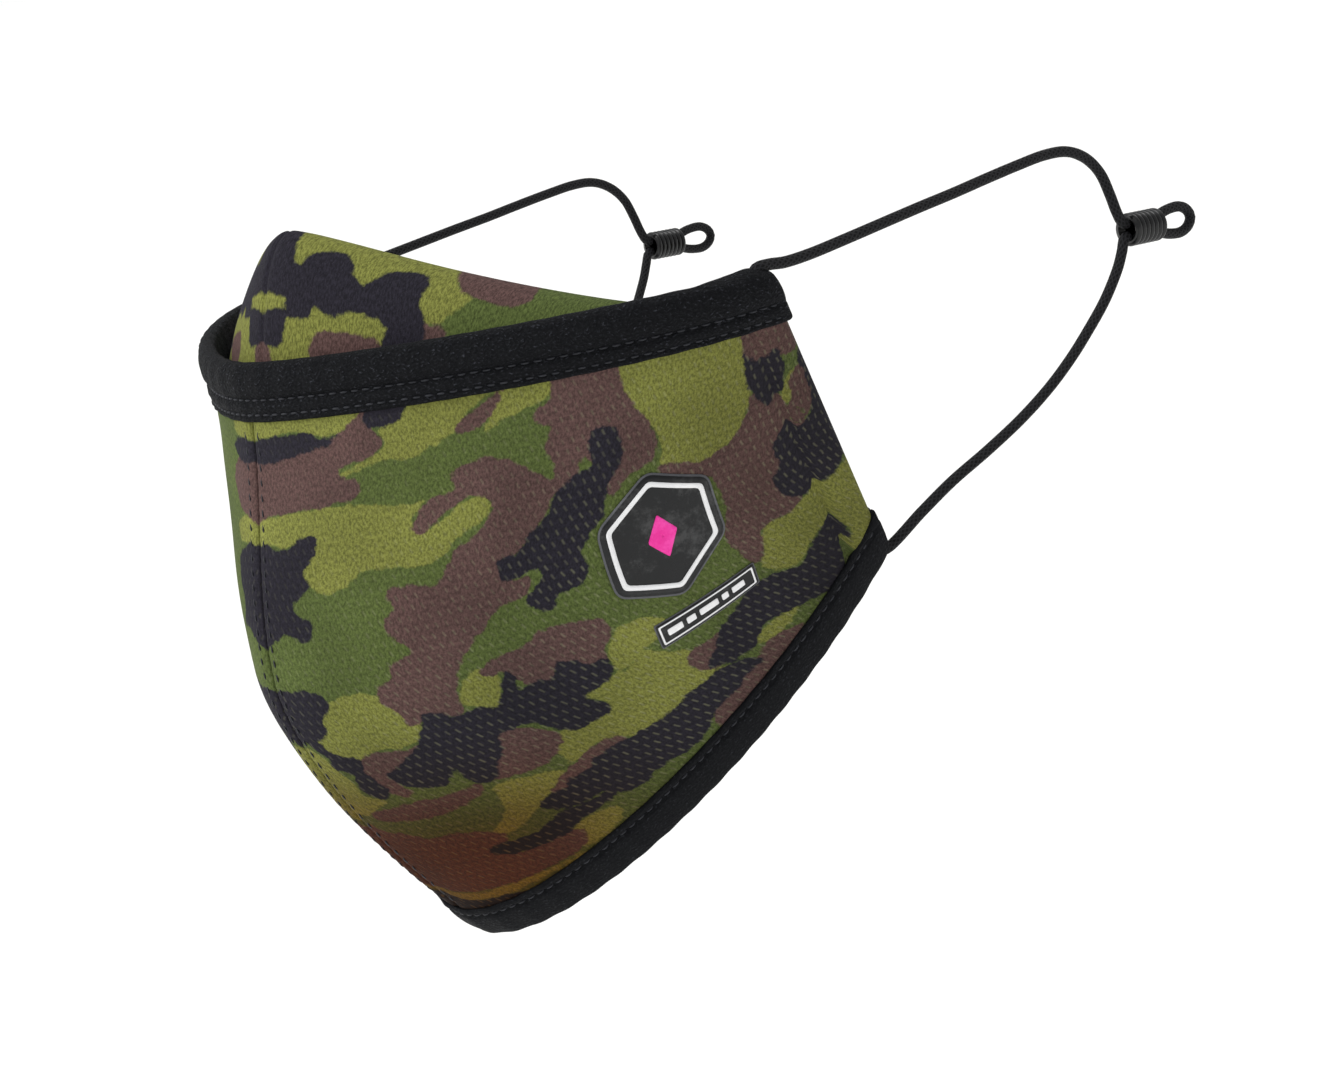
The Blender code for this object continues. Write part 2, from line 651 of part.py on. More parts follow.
def main():
    for old in list(bpy.data.objects):
        bpy.data.objects.remove(old, do_unlink=True)
    home = collection("camo_face_mask")
    cutters = collection("cutters")

    shell = material("camo_mesh_knit", SHELL_COLOUR, 0.85)
    liner = material("camo_brushed_knit", LINER_COLOUR, 0.9)
    tape = material("black_knit_tape", BLACK_TAPE, 0.8)
    elastic = material("black_elastic_cord", BLACK_CORD, 0.7)
    rubber = material("black_rubber", BLACK_RUBBER, 0.35)
    thread = material("black_thread", BLACK_THREAD, 0.7)
    fleece = material("white_filter_fleece", WHITE_FILTER, 0.95)
    steel = material("bare_steel_wire", BARE_STEEL, 0.4, 1.0)
    film = material("printed_film", PATCH_FILM, 0.4)

    for word, side in (("left", 1), ("right", -1)):
        outer_panel("outer_panel_" + word, side, shell, home)
        liner_panel("liner_panel_" + word, side, liner, home)
        side_channel(word, side, shell, tape, home)
        ear_loop(word, side, elastic, home)
        adjuster(word, side, rubber, home, cutters)
        bar_tack(word, side, thread, home)
    filter_insert(fleece, home)
    nose_wire(steel, home)
    top_binding(tape, home)
    bottom_binding(tape, home)
    emblem_patch(film, home)
    label_strip(film, home)
    stitching(thread, home)


main()
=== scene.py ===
"""Looks for a camo cloth face mask, as a Blender add-on that is run as a script.

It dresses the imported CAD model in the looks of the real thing: sewn camo cloth, black knit
bindings with their stitches, elastic ear cords and ribbed rubber cord adjusters. The frame is the
CAD model's: +X is the wearer's left, -Y is forwards and +Z is up, with the origin at the middle of
the top rim. Lengths on the cloth are in millimetres, from the centre seam and from the rim.
"""

import json

import bpy
import numpy as np
from bpy.props import FloatProperty, FloatVectorProperty, IntProperty, PointerProperty, StringProperty
from bpy.types import Operator, Panel, PropertyGroup
from mathutils import Matrix, Vector

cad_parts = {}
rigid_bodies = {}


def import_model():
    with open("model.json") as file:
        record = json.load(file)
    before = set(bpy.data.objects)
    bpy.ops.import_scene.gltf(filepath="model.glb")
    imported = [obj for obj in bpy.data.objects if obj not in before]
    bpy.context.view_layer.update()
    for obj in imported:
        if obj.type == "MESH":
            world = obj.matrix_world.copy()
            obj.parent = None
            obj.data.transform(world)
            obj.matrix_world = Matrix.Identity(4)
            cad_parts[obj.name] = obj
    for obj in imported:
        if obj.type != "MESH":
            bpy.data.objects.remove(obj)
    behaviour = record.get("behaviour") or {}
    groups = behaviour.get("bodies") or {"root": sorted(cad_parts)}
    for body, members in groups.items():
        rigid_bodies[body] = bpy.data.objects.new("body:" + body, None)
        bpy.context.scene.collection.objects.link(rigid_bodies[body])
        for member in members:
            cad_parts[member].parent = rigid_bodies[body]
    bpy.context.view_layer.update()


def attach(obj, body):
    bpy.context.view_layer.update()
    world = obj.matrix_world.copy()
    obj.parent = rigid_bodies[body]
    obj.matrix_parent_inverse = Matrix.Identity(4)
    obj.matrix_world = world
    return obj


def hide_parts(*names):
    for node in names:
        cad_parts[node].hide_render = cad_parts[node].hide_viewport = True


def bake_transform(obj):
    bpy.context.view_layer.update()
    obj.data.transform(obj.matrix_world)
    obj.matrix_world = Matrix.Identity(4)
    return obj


bl_info = {
    "name": "Camo face mask looks",
    "version": (1, 0, 0),
    "blender": (4, 5, 0),
    "location": "3D Viewport > Sidebar > Face Mask",
    "description": "Builds the cloth, cords, stitches and stage of a camo face mask",
    "category": "Object",
}

MM = 0.001

TOP_STITCH_ROWS = (6.3 * MM, 9.4 * MM)     # below the rim
BOTTOM_STITCH_ROW = 7.6 * MM               # above the bottom edge
EDGE_MARGIN = 1.2 * MM                     # the shell's cut edges, inside the bindings' folds
CREST_SHARE = 0.24                         # share of the liner's height that stands over the rim
CASING_PUCKER = 2.9 * MM                   # one pucker to the next, along the casing's stitches
GROOVE_SPREAD = 0.62 * MM                  # half width of the groove that a stitch row draws in a tape
GROOVE_DEPTH = 0.62 * MM
THREAD_SIDES = 6                           # of a stitch's cross-section
TAPE_RISE = 0.85 * MM                      # a tape's flat face over the shell
CORD_INSET = 4.3 * MM                      # the cord in the casing, from the ear edge
CORD_DEPTH = 2.2 * MM                      # and below the cup's outer face
WRAP_HALF_WIDTH = 5.1 * MM                 # the tape's end round the casing
WRAP_HALF_DEPTH = 2.95 * MM
WRAP_SLANT = 3.0 * MM                      # how much its end slants, to follow the bottom edge
WRAP_REACH = 8.6 * MM                      # how far the tape's end runs up the casing
BADGE_SPOT = ((0.698, 0.486), -0.01)       # its middle on the cup, as (s, t), and its tilt in radians
STRIP_SPOT = ((0.716, 0.683), -0.09)
# Height over the shell and thickness of each layer of the printed film.
FILM_LAYERS = {
    "border": (0.32 * MM, 0.1 * MM),
    "ground": (0.45 * MM, 0.08 * MM),
    "ink": (0.56 * MM, 0.06 * MM),
}

# The camouflage print on the left half: outlines of its patches, listed in millimetres
# across from the centre seam and down from the rim. The cloth's ground is mid green.
LIGHT_PATCHES = (
    ((-3, 10), (17, 10), (30, 10), (28.5, 13), (22, 15), (17, 14), (12, 13.5), (5, 14.3), (-3, 15.5)),
    ((33.5, 14.5), (38.5, 12.5), (43, 9), (50, 9), (60, 9), (53, 14.5), (49.5, 18), (44.5, 20), (40, 21.5),
     (33, 21), (27, 23), (23.5, 23), (30, 20.5), (34.5, 18)),
    ((61.5, 9), (72, 9), (70, 14), (64, 16), (59, 17.5), (56, 19), (58, 15)),
    ((-3, 32.5), (7, 30.5), (17, 29.5), (27, 29.3), (34.5, 30.3), (40, 30.7), (43, 30.5), (40, 33),
     (39.5, 35.5), (41.5, 37), (47, 34.5), (50.5, 32), (55, 31.7), (56.5, 34.5), (53.5, 37), (48, 39.5),
     (47, 41.5), (41.5, 43.5), (34.5, 43), (28.5, 43), (21.5, 46.5), (17, 46.5), (15, 45.5), (12, 42),
     (13, 37), (8.5, 37), (4, 36.7), (-3, 38.5)),
    ((83.5, 9), (93, 9), (103, 9), (111, 9), (112, 18.5), (113, 23), (113.5, 26.5), (111.5, 32),
     (108.5, 35), (103, 37), (97, 35), (93, 34.5), (93, 29.5), (89.5, 23.5), (85.5, 18.5)),
    ((10, 74), (12.5, 71.5), (14.5, 70), (20, 68.5), (25.5, 70), (26, 72), (28.5, 75), (31, 78), (28.5, 82),
     (23.5, 83.5), (18.5, 83), (13.5, 85.5), (8, 83), (6, 80), (9, 77)),
    ((-3, 84), (5.5, 84), (6.5, 86.5), (9, 91.5), (8.5, 95), (13, 97.5), (8.5, 100), (-3, 105.5)),
    ((71.5, 78), (77, 74.5), (82, 78), (85.5, 80), (83, 83), (84.5, 86), (88.5, 87.5), (91.5, 89.5),
     (86, 91.5), (81.5, 93), (79.5, 98), (78, 100), (75.5, 100.5), (71.5, 100), (67, 102), (65.5, 100),
     (64, 98), (62, 95), (58.5, 94.5), (54.5, 96), (50.5, 98.5), (50, 94.5), (51.5, 90.5), (57, 87),
     (62, 86), (65, 84.5), (61, 81), (67, 79)),
    ((34.5, 98.5), (43, 98.5), (48.5, 99.5), (45.5, 102), (41.5, 105.5), (38.5, 108), (35.5, 110),
     (30, 113), (27, 112), (30.5, 108.5), (33, 105)),
    ((40, 116.5), (44.5, 114.5), (49.5, 113.5), (50.5, 116), (47, 119.5), (43, 122), (38.5, 123)),
    ((-3, 129), (5.5, 130.5), (13, 131), (18.5, 129.7), (33, 126), (39.5, 123), (37, 125.5), (25.5, 130),
     (17, 133), (10, 134), (4, 133)),
    ((110, 63), (111.5, 58.5), (114, 56.5), (118.5, 56.5), (123, 54.5), (126.5, 53), (131.5, 51),
     (140, 49), (139, 60), (136, 68), (131, 74), (126, 74), (123, 70), (127, 68), (126.5, 64.5),
     (123, 63.5), (118.5, 66.5), (114, 70), (109, 68.5), (108, 65.5)),
    ((42, 71), (46, 68), (50, 70.5), (49.5, 73), (46.5, 79), (43, 77), (40.5, 75)),
    ((71, 74), (75, 68.5), (80, 67), (85, 69), (82, 73), (77, 75), (71.5, 79)),
    ((121.5, 25), (123.5, 22.5), (125, 24), (124.5, 28), (123, 31), (119.5, 31), (119, 29), (121.2, 29)),
    ((95, 84.5), (101, 81.5), (108, 79.5), (106, 82.5), (100, 85.5)),
)
BROWN_PATCHES = (
    ((-3, 18), (8.5, 18), (17, 16.5), (21.5, 16), (28.5, 12), (30.5, 9), (32, 14.5), (34.5, 18), (30, 20.5),
     (24.5, 21.5), (23.5, 23.5), (28.5, 25), (27, 28), (20, 29), (13, 29.5), (5.5, 30.5), (-3, 32.5)),
    ((50, 17), (53.5, 14.5), (59.5, 11.5), (61, 11.2), (58.5, 15), (54.5, 18), (51, 18.3)),
    ((48.5, 26), (54, 24), (60, 25), (65.5, 28.5), (69, 31), (70, 34), (66, 40.5), (61, 45), (59, 48),
     (60, 50.5), (63, 50), (62, 54), (57, 55), (53.5, 57), (50.5, 60), (47, 63), (43.5, 66.5), (42, 70),
     (40.5, 73.5), (39.5, 78), (34, 77), (31.5, 78), (28, 78), (27.5, 74), (25.5, 72), (25.5, 68.5),
     (29, 66.5), (30.5, 63), (35.5, 61.5), (32, 57), (30.5, 54), (33.5, 51.5), (32, 48), (37, 47),
     (43, 48), (47, 43), (48, 41.5), (53, 39), (56.5, 35), (55.5, 32), (51.5, 31.5), (47, 33.5),
     (41.5, 37), (39.5, 35.5), (41.5, 32), (44, 30), (49, 29.5)),
    ((71.5, 9), (80, 9), (83.5, 9), (85, 15.5), (87, 20), (91.5, 26.5), (92, 30.5), (90.5, 33), (86, 34.5),
     (82, 38), (80, 33), (76, 28), (74.5, 33), (70.5, 34), (70, 28.5), (68.5, 24.5), (70, 20.5),
     (67, 19.5), (66.5, 17), (70, 15)),
    ((92, 34.5), (97, 35), (102, 36.5), (106, 35.5), (110, 33.5), (113, 28.5), (113, 25), (118.5, 27),
     (123, 31), (126, 32), (128, 34.5), (128, 41), (125, 45), (123, 47), (123, 50), (123, 54), (118.5, 56.5),
     (114, 56.5), (111.5, 58.5), (110, 63), (107, 65), (105.5, 60), (104, 56), (106.5, 50.5),
     (106.5, 45.5), (104, 40.5), (98.5, 40), (95, 38.5)),
    ((50.5, 66.5), (54.5, 66), (58.5, 65), (61.5, 63), (67, 63), (71.5, 63.5), (74.5, 65.5), (74.5, 68.5),
     (71.5, 71.5), (70.5, 75.5), (67, 76), (64.5, 73), (60.5, 73), (58.5, 76), (53.5, 74), (51.5, 70),
     (48.5, 70.5), (47, 69)),
    ((12, 86), (18.5, 83.5), (24.5, 84), (29, 83), (26, 89), (19, 92), (18, 94), (20, 95.5), (17, 97),
     (14, 94), (12, 89)),
    ((36.5, 91), (40.5, 86), (45.5, 84), (50, 86), (53, 90), (50, 93.5), (47, 96), (43, 97), (38.5, 97),
     (35, 97)),
    ((50.5, 98.5), (54.5, 96), (58.5, 94.5), (62, 95), (64, 98), (64, 101.5), (60.5, 105.5), (54.5, 105),
     (50, 105.5), (46.5, 107.5), (41.5, 108), (42.5, 105), (45.5, 102), (48, 100)),
    ((79.5, 98), (81.5, 93), (86, 91.5), (91.5, 90), (98.5, 86), (103, 85), (106, 86), (100, 90.5),
     (94.5, 94), (88.5, 97.5), (83, 101.5), (78, 103)),
    ((83, 82), (86, 79.5), (90, 79), (92, 78), (91, 83), (88, 87), (83.5, 85.5)),
    ((-3, 108.5), (8.5, 108), (14, 110.5), (21.5, 110), (28.5, 113), (27, 116), (24, 117), (26.5, 119.5),
     (33, 118), (39, 116.5), (41.5, 118.5), (38.5, 123), (33, 125.5), (25.5, 128), (18.5, 129.5),
     (13, 130.5), (5.5, 130), (-3, 128)),
    ((6.5, 101), (14, 99.5), (20, 98.5), (25.5, 98.5), (33, 97), (30.5, 100.5), (25.5, 102.5), (20, 104),
     (14, 104.5), (8, 104)),
    ((111, 9), (121.5, 9), (126, 11), (127, 16), (123, 19), (119, 19), (114, 20.5), (111, 17)),
    ((123, 24), (127, 22), (130, 27), (130, 33), (126, 36), (123, 33), (124, 29)),
)
BLACK_PATCHES = (
    ((-3, 16), (5, 14.5), (12, 13.6), (17, 14), (20, 15.3), (24, 14.7), (21, 16.8), (17, 17.6), (11, 18.8),
     (6, 19.6), (-3, 19.6)),
    ((30.5, 12), (33, 10), (41, 9), (39, 13), (36, 14.5), (33, 14.7), (31, 13.5)),
    ((-3, 39), (4, 37), (9, 37.5), (13, 35), (17, 35), (16.5, 39), (13, 42.5), (15, 45.5), (10, 48.5),
     (11, 51), (14.5, 53), (12, 57), (7, 55), (3, 58), (-3, 57)),
    ((-3, 70), (4, 68), (9, 67), (13, 68.5), (14, 71.5), (11.5, 73.5), (10, 78), (7, 80), (9, 83),
     (6, 83.5), (3, 81.5), (-3, 82)),
    ((6, 86), (8.5, 83.5), (12, 84), (14.5, 85.5), (13, 88.5), (14.5, 91.5), (15, 95), (13, 97), (10, 95),
     (9.3, 91.5), (10.7, 88.5), (8, 88)),
    ((17, 90), (21.5, 87.5), (26.5, 84), (29.5, 80), (31.5, 76.5), (34.5, 76), (38, 78), (43, 76.5),
     (46.5, 78), (49.5, 73), (51.5, 70), (53, 72), (52, 75.5), (56.5, 74), (59.5, 75), (61.5, 71.5),
     (65, 72), (67, 74), (71, 74), (70, 78), (66, 80.5), (62, 81.5), (64.5, 84.5), (64.5, 87),
     (61.5, 88.5), (57, 89.5), (53.5, 88), (50, 84.5), (45.5, 84.5), (43, 85.5), (41.5, 89.5),
     (38.5, 93), (36.5, 96.5), (33, 97), (31, 94.5), (30.5, 91), (29, 93.5), (26.5, 95.5), (21.5, 95),
     (18.5, 93)),
    ((78, 23.5), (81.5, 23), (84, 26), (84.5, 31), (81.5, 35), (80, 41.5), (77, 44.5), (74.5, 48),
     (75.5, 51.5), (73.5, 55), (68.5, 56), (65.5, 59), (62, 57), (61.5, 54.5), (65, 52), (65.5, 49.5),
     (62, 49.5), (58, 50.5), (56.5, 48), (57, 45.5), (61.5, 44.5), (64.5, 41), (68.5, 38), (70, 34.5),
     (74.5, 31.5), (78, 31), (77.5, 27)),
    ((111, 15), (114, 19), (119, 17), (121.5, 23), (121, 28), (118.5, 29.5), (114, 26), (111.5, 21)),
    ((126, 10), (133, 12), (141, 24), (141, 45), (136, 48), (131.5, 51), (126, 54), (120, 52),
     (118.5, 47), (121, 44), (119.5, 40), (122.5, 36), (127, 37), (130, 33), (129, 28), (127, 24),
     (125, 21), (126, 16)),
    ((85.5, 86), (89, 82), (93, 77), (98.5, 73.5), (103, 70), (109, 69.5), (114, 70.5), (118.5, 66.5),
     (123, 63.5), (126.5, 64.5), (127, 68), (124, 72), (121.5, 76), (118.5, 80), (113, 80.5), (107, 80.5),
     (100, 81.5), (96, 85.5), (91.5, 87), (87, 86.8)),
    ((38.5, 108), (42, 105), (45, 104.5), (48, 102), (52, 101), (56, 98), (62, 96), (68, 95),
     (74, 93), (80, 90), (86, 88), (92, 87.5), (95, 90), (90, 92), (86, 95), (80, 98), (76, 102),
     (71.5, 105), (64, 107), (58.5, 110), (54, 111), (51, 108.5), (47, 110), (41.5, 110)),
    ((23, 117), (26, 115.5), (33, 115), (40, 111.5), (46, 110), (52, 109), (50, 112), (44, 114),
     (40, 117), (34, 119), (28, 119.7), (24, 119)),
    ((-3, 131.5), (4, 133), (8.5, 134), (14, 133.5), (18.5, 133), (22, 134), (8.5, 142), (-3, 143)),
)
SHELL_PATCHES = (LIGHT_PATCHES, BROWN_PATCHES, BLACK_PATCHES)
# The same for the liner: across from its seam, and down from its top edge.
LINER_LIGHT = (
    ((-5, -3), (20, -3), (42, -3), (44, 5), (48, 7.5), (45, 12), (42, 15), (37, 17), (38, 22), (30, 30),
     (10, 45), (-5, 48)),
)
LINER_BROWN = (
    ((14, 24), (16, 21.5), (22, 20.5), (29, 20.5), (31, 22), (27, 26), (18, 29), (14, 27)),
    ((41, -3), (55, -3), (62, 2.5), (64, 5), (60, 7.5), (53, 8), (47, 7), (44, 5)),
    ((37, 16), (43, 15), (45, 17), (42, 21), (37, 20)),
    ((-5, 24), (2, 25), (4, 34), (8, 44), (-5, 48)),
)
LINER_BLACK = (
    ((-5, -3), (3, -2), (5.5, 2), (7, 7.5), (8.5, 8), (10.5, 6), (13, 4.2), (17, 3.8), (20, 5), (22, 8),
     (24.5, 9.8), (27, 7.5), (31, 5), (36, 4), (38, 6), (37.7, 11), (39.5, 15), (40, 19), (36, 24),
     (31, 22), (31.5, 18), (28, 16.5), (22, 16), (19, 18), (14.5, 16.5), (13, 19), (9, 19.7), (7, 20),
     (6.5, 25), (3, 26), (-2, 24), (-5, 20.5), (1, 18.6), (5, 18), (7, 16.5), (5, 15.2), (1, 15), (-5, 15.5)),
)

# The ear cord's route on the wearer's left, in millimetres: up out of the casing and back to the
# adjuster, round its tail, and forward and down to the casing's lower end.
UPPER_ROUTE = (
    (81.7, 69.6, 0), (82.3, 70.9, 2.2), (82.3, 74.5, 2.2), (82.3, 79, 1.6), (82.4, 86, 1.6),
    (82.5, 95, 2.1), (82.6, 106, 2.8), (82.7, 117, 3.5), (82.8, 128, 4.1), (82.9, 138, 4.8),
    (83.0, 148, 5.4), (83.1, 157, 5.7), (83.3, 164, 4.9), (83.4, 169.5, 2.2), (83.4, 173.4, -2),
    (83.4, 175.4, -7), (83.4, 176.8, -11.6),
)
LOWER_ROUTE = (
    (83.4, 176.5, -20.4), (83.1, 174.2, -24.2), (82.3, 169.6, -29.8), (81.1, 164, -35.2),
    (80, 157.9, -40.2), (78.7, 150.8, -45), (77.1, 142.5, -49.5), (75.3, 132.7, -53.7),
    (73.4, 122.5, -57.6), (71.8, 113.5, -61.8), (69.4, 103.5, -67.2), (67.3, 99.6, -65.9),
)
# The tail loop behind the adjuster: shares of its reach, and of its width above the middle
TAIL_OUTLINE = ((0.33, 0.42), (0.67, 0.46), (0.9, 0.3), (1, 0), (0.9, -0.3), (0.67, -0.46), (0.33, -0.42))


def srgb(code):
    """A hex colour as the linear light that a shader takes."""
    levels = [int(code[i:i + 2], 16) / 255 for i in (0, 2, 4)]
    return tuple(c / 12.92 if c <= 0.04045 else ((c + 0.055) / 1.055)**2.4 for c in levels) + (1.0,)


def length(name, description, millimetres):
    return FloatProperty(name=name, description=description, default=millimetres * MM, unit="LENGTH",
                         precision=5)


def colour(name, description, code):
    return FloatVectorProperty(name=name, description=description, size=4, subtype="COLOR",
                               min=0, max=1, default=srgb(code))


def direction(name, description, value):
    return FloatVectorProperty(name=name, description=description, size=3, subtype="DIRECTION",
                               default=value)


class FaceMaskShape(PropertyGroup):
    """The cup that every layer of cloth follows."""
    half_width: length("Half width", "Centre seam to ear edge, at the top", 84)
    ear_setback: length("Ear setback", "Nose bridge back to the ear edge's top", 73.4)
    side_length: length("Side length", "The ear edge, corner to corner", 74.3)
    side_lean: direction("Side lean", "Direction of the ear edge, going down", (-0.188, 0.404, -0.896))
    seam_height: length("Seam height", "Nose bridge down to the chin", 136.5)
    nose_reach: length("Nose reach", "How far the seam stands forward", 10.3)
    nose_level: FloatProperty(name="Nose level", description="Where it does, as a share", default=0.485)
    chin_setback: length("Chin setback", "Chin end behind the nose bridge", 27)
    chin_sweep: FloatProperty(name="Chin sweep", description="How late the seam turns back", default=1.55)
    front_rounding: length("Front rounding", "Handle that rounds the front at the rim", 25)
    chin_rounding: length("Chin rounding", "The same at the bottom edge", 28)
    rim_flare: length("Rim flare", "Handle at the ear edge, at the rim", 36)
    jaw_flare: length("Jaw flare", "The same at the bottom edge", 49)
    rim_run: direction("Rim run", "Direction of the rim at the ear edge", (-0.05, 0.98, -0.04))
    jaw_run: direction("Jaw run", "Direction of the bottom edge there", (0.28, 0.59, 0.76))
    crest_rise: length("Crest rise", "The liner's peak above the rim", 24.7)
    crest_setback: length("Crest setback", "The peak behind the nose bridge", 19)
    crest_rounding: length("Crest rounding", "Handle that rounds the peak", 8)
    crest_handle: FloatVectorProperty(
        name="Crest handle", description="From the rim's ear corner", size=3, unit="LENGTH",
        default=(-0.020, -0.0259, -0.0025))


class FaceMaskSewing(PropertyGroup):
    """Cloth, bindings and stitches."""
    shell_thickness: length("Shell thickness", "Outer cloth", 0.8)
    liner_thickness: length("Liner thickness", "The doubled liner cloth", 1.5)
    liner_depth: length("Liner depth", "Outer face of the liner below the cup's", 3.4)
    casing_width: length("Casing width", "Ear edge to the casing's stitches", 10)
    casing_depth: length("Casing depth", "Thickness of the casing with the cord in it", 4.4)
    top_width: length("Top binding width", "Rim to the binding's lower edge", 10.9)
    bottom_width: length("Bottom binding width", "Bottom edge to the binding's upper edge", 9.6)
    stitch_pitch: length("Stitch pitch", "One stitch to the next", 2.6)
    stitch_length: length("Stitch length", "The part of a stitch that shows", 1.9)
    thread_radius: length("Thread radius", "Sewing thread", 0.24)


class FaceMaskLoops(PropertyGroup):
    """Ear cords and their adjusters."""
    cord_diameter: length("Cord diameter", "Round elastic cord", 2.4)
    barrel_length: length("Barrel length", "Adjuster, end to end", 9.8)
    barrel_radius: length("Barrel radius", "Adjuster, over its rings", 3.75)
    barrel_rings: IntProperty(name="Rings", description="Rings round the adjuster", default=7)
    ring_height: length("Ring height", "How far a ring stands out", 0.75)
    bore_spacing: length("Bore spacing", "Between the adjuster's two bores", 3.3)
    barrel_face: FloatVectorProperty(
        name="Adjuster place", description="Middle of the end that faces the mask", size=3, unit="LENGTH",
        default=(0.0834, 0.1793, -0.0162))
    barrel_run: direction("Adjuster direction", "From that end to the tail", (0.01, 0.995, -0.0995))
    tail_reach: length("Tail reach", "The cord's loop past the adjuster", 12)
    tail_width: length("Tail width", "The loop across", 6.4)


class FaceMaskPatches(PropertyGroup):
    """The badge and the strip on the left half."""
    badge_radius: length("Badge radius", "Middle to corner", 15.2)
    strip_length: length("Strip length", "Along the strip", 25)
    strip_width: length("Strip width", "Across the strip", 5.8)


class FaceMaskColours(PropertyGroup):
    """Colours, as the cloth shows them in soft light."""
    green: colour("Mid green", "Ground of the print", "505c30")
    light: colour("Yellow green", "Light patches", "75783b")
    brown: colour("Brown", "Brown patches", "57423f")
    black: colour("Near black", "Dark patches", "25232b")
    binding: colour("Binding", "Black knit tape", "0e0f12")
    # Painted highlight colour on the binding's knit loops.
    lint_highlight: colour("Binding lint", "Its fibres' highlights", "4a4c55")
    cord: colour("Cord", "Black elastic", "08080a")
    rubber: colour("Rubber", "Adjusters", "08090b")
    thread: colour("Thread", "Sewing thread", "24262c")
    film: colour("Film", "Printed film's ground", "121315")
    white_ink: colour("White ink", "Lines on the film", "eeeef0")
    pink_ink: colour("Pink ink", "The badge's mark", "f0289c")


class FaceMaskScene(PropertyGroup):
    """Camera and stage."""
    target: FloatVectorProperty(name="Target", description="What the camera looks at", size=3, unit="LENGTH",
                                default=(0.0, 0.098368, -0.068232))
    azimuth: FloatProperty(name="Azimuth", description="Degrees round from the front", default=52.247)
    elevation: FloatProperty(name="Elevation", description="Degrees above level", default=14.082)
    roll: FloatProperty(name="Roll", description="Degrees that the object leans", default=11.689)
    distance: length("Distance", "Camera to target", 611.441)
    lens: FloatProperty(name="Lens", description="Focal length on a 36 mm sensor", default=71.13)
    floor_drop: length("Floor drop", "Floor below the rim", 330)
    floor_colour: StringProperty(name="Floor", description="Hex colour", default="f7f7f5")


# ---------------------------------------------------------------- the cup

def unit(v):
    return v / np.linalg.norm(v, axis=-1, keepdims=True)


def bezier(a, b, c, d, u):
    v = 1 - u
    return a * v**3 + b * 3 * v * v * u + c * 3 * v * u * u + d * u**3


def smooth(x):
    x = np.clip(x, 0, 1)
    return x * x * (3 - 2 * x)


def props():
    scene = bpy.context.scene
    return scene.mask_shape, scene.mask_sewing


def seam_profile(t):
    g, _ = props()
    above = -g.nose_reach * (1 - np.cos(np.pi * t / g.nose_level)) / 2
    share = np.clip((t - g.nose_level) / (1 - g.nose_level), 0, None)
    below = -g.nose_reach + (g.chin_setback + g.nose_reach) * share**g.chin_sweep
    return np.stack([0 * t, np.where(t < g.nose_level, above, below), -g.seam_height * t], -1)


def ear_edge(t):
    g, _ = props()
    lean = unit(np.array(g.side_lean))
    return np.array((g.half_width, g.ear_setback, 0)) + lean * g.side_length * np.asarray(t)[..., None]


def cup(s, t):
    """Points of the cup's outer face, from the seam (s = 0) to the left ear edge (s = 1)."""
    g, _ = props()
    s, t = np.broadcast_arrays(np.asarray(s, float), np.asarray(t, float))
    share = t[..., None]
    start = seam_profile(t)
    end = ear_edge(t)
    run = unit(np.array(g.rim_run) * (1 - share) + np.array(g.jaw_run) * share)
    front = start + np.array((1.0, 0, 0)) * (g.front_rounding * (1 - share) + g.chin_rounding * share)
    flare = end - run * (g.rim_flare * (1 - share) + g.jaw_flare * share)
    points = bezier(start, front, flare, end, np.abs(s)[..., None])
    points[..., 0] *= np.where(s < 0, -1, 1)
    return points


def cup_frame(s, t):
    """(outward normal, slope along s, slope down t) of the cup."""
    step = 0.004
    s, t = np.broadcast_arrays(np.clip(s, -0.99, 0.99), np.asarray(t, float))
    along = (cup(s + step, t) - cup(s - step, t)) / (2 * step)
    high = np.clip(t - step, 0, 1)
    low = np.clip(t + step, 0, 1)
    down = (cup(s, low) - cup(s, high)) / (low - high)[..., None]
    return unit(np.cross(down, along)), along, down


def inset_station(t, inset):
    """The s at the distance inset from the ear edge."""
    t = np.asarray(t, float)
    edge = cup(1.0, t)
    low = np.full(t.shape, 0.4)
    high = np.ones(t.shape)
    for _ in range(24):
        middle = (low + high) / 2
        far = np.linalg.norm(cup(middle, t) - edge, axis=-1) > inset
        low = np.where(far, middle, low)
        high = np.where(far, high, middle)
    return low


def off_cup(s, t, out):
    return cup(s, t) + cup_frame(s, t)[0] * np.asarray(out)[..., None]


def mirror(points, side):
    return points * np.array((side, 1, 1))


def distances(points, axis):
    """How far each grid point lies along its row or column, from the first one."""
    steps = np.linalg.norm(np.diff(points, axis=axis), axis=2)
    zero = np.zeros_like(steps.take([0], axis))
    return np.concatenate([zero, np.cumsum(steps, axis)], axis)


def walked_along(points):
    """How far along a line each of its points lies."""
    return np.concatenate([[0], np.cumsum(np.linalg.norm(np.diff(points, axis=0), axis=1))])


def at_distances(wanted, walked, values):
    """A line's values at the wanted distances along it."""
    return np.stack([np.interp(wanted, walked, column) for column in values.T], -1)


def spline(a, b, c, d, u):
    """The smooth curve from b to c that comes from a and goes on to d."""
    return (b * 2 + (c - a) * u + (a * 2 - b * 5 + c * 4 - d) * u**2 + (b * 3 - a - c * 3 + d) * u**3) / 2


def waves(points, size, seed):
    """A smooth, repeatable unevenness from -1 to 1, with waves about this size."""
    rng = np.random.default_rng(seed)
    total = np.zeros(points.shape[:-1])
    for _ in range(7):
        heading = unit(rng.normal(size=3))
        total += np.sin(points @ heading * 2 * np.pi / (size * rng.uniform(0.7, 1.5)) + rng.uniform(0, 7))
    return total / 7


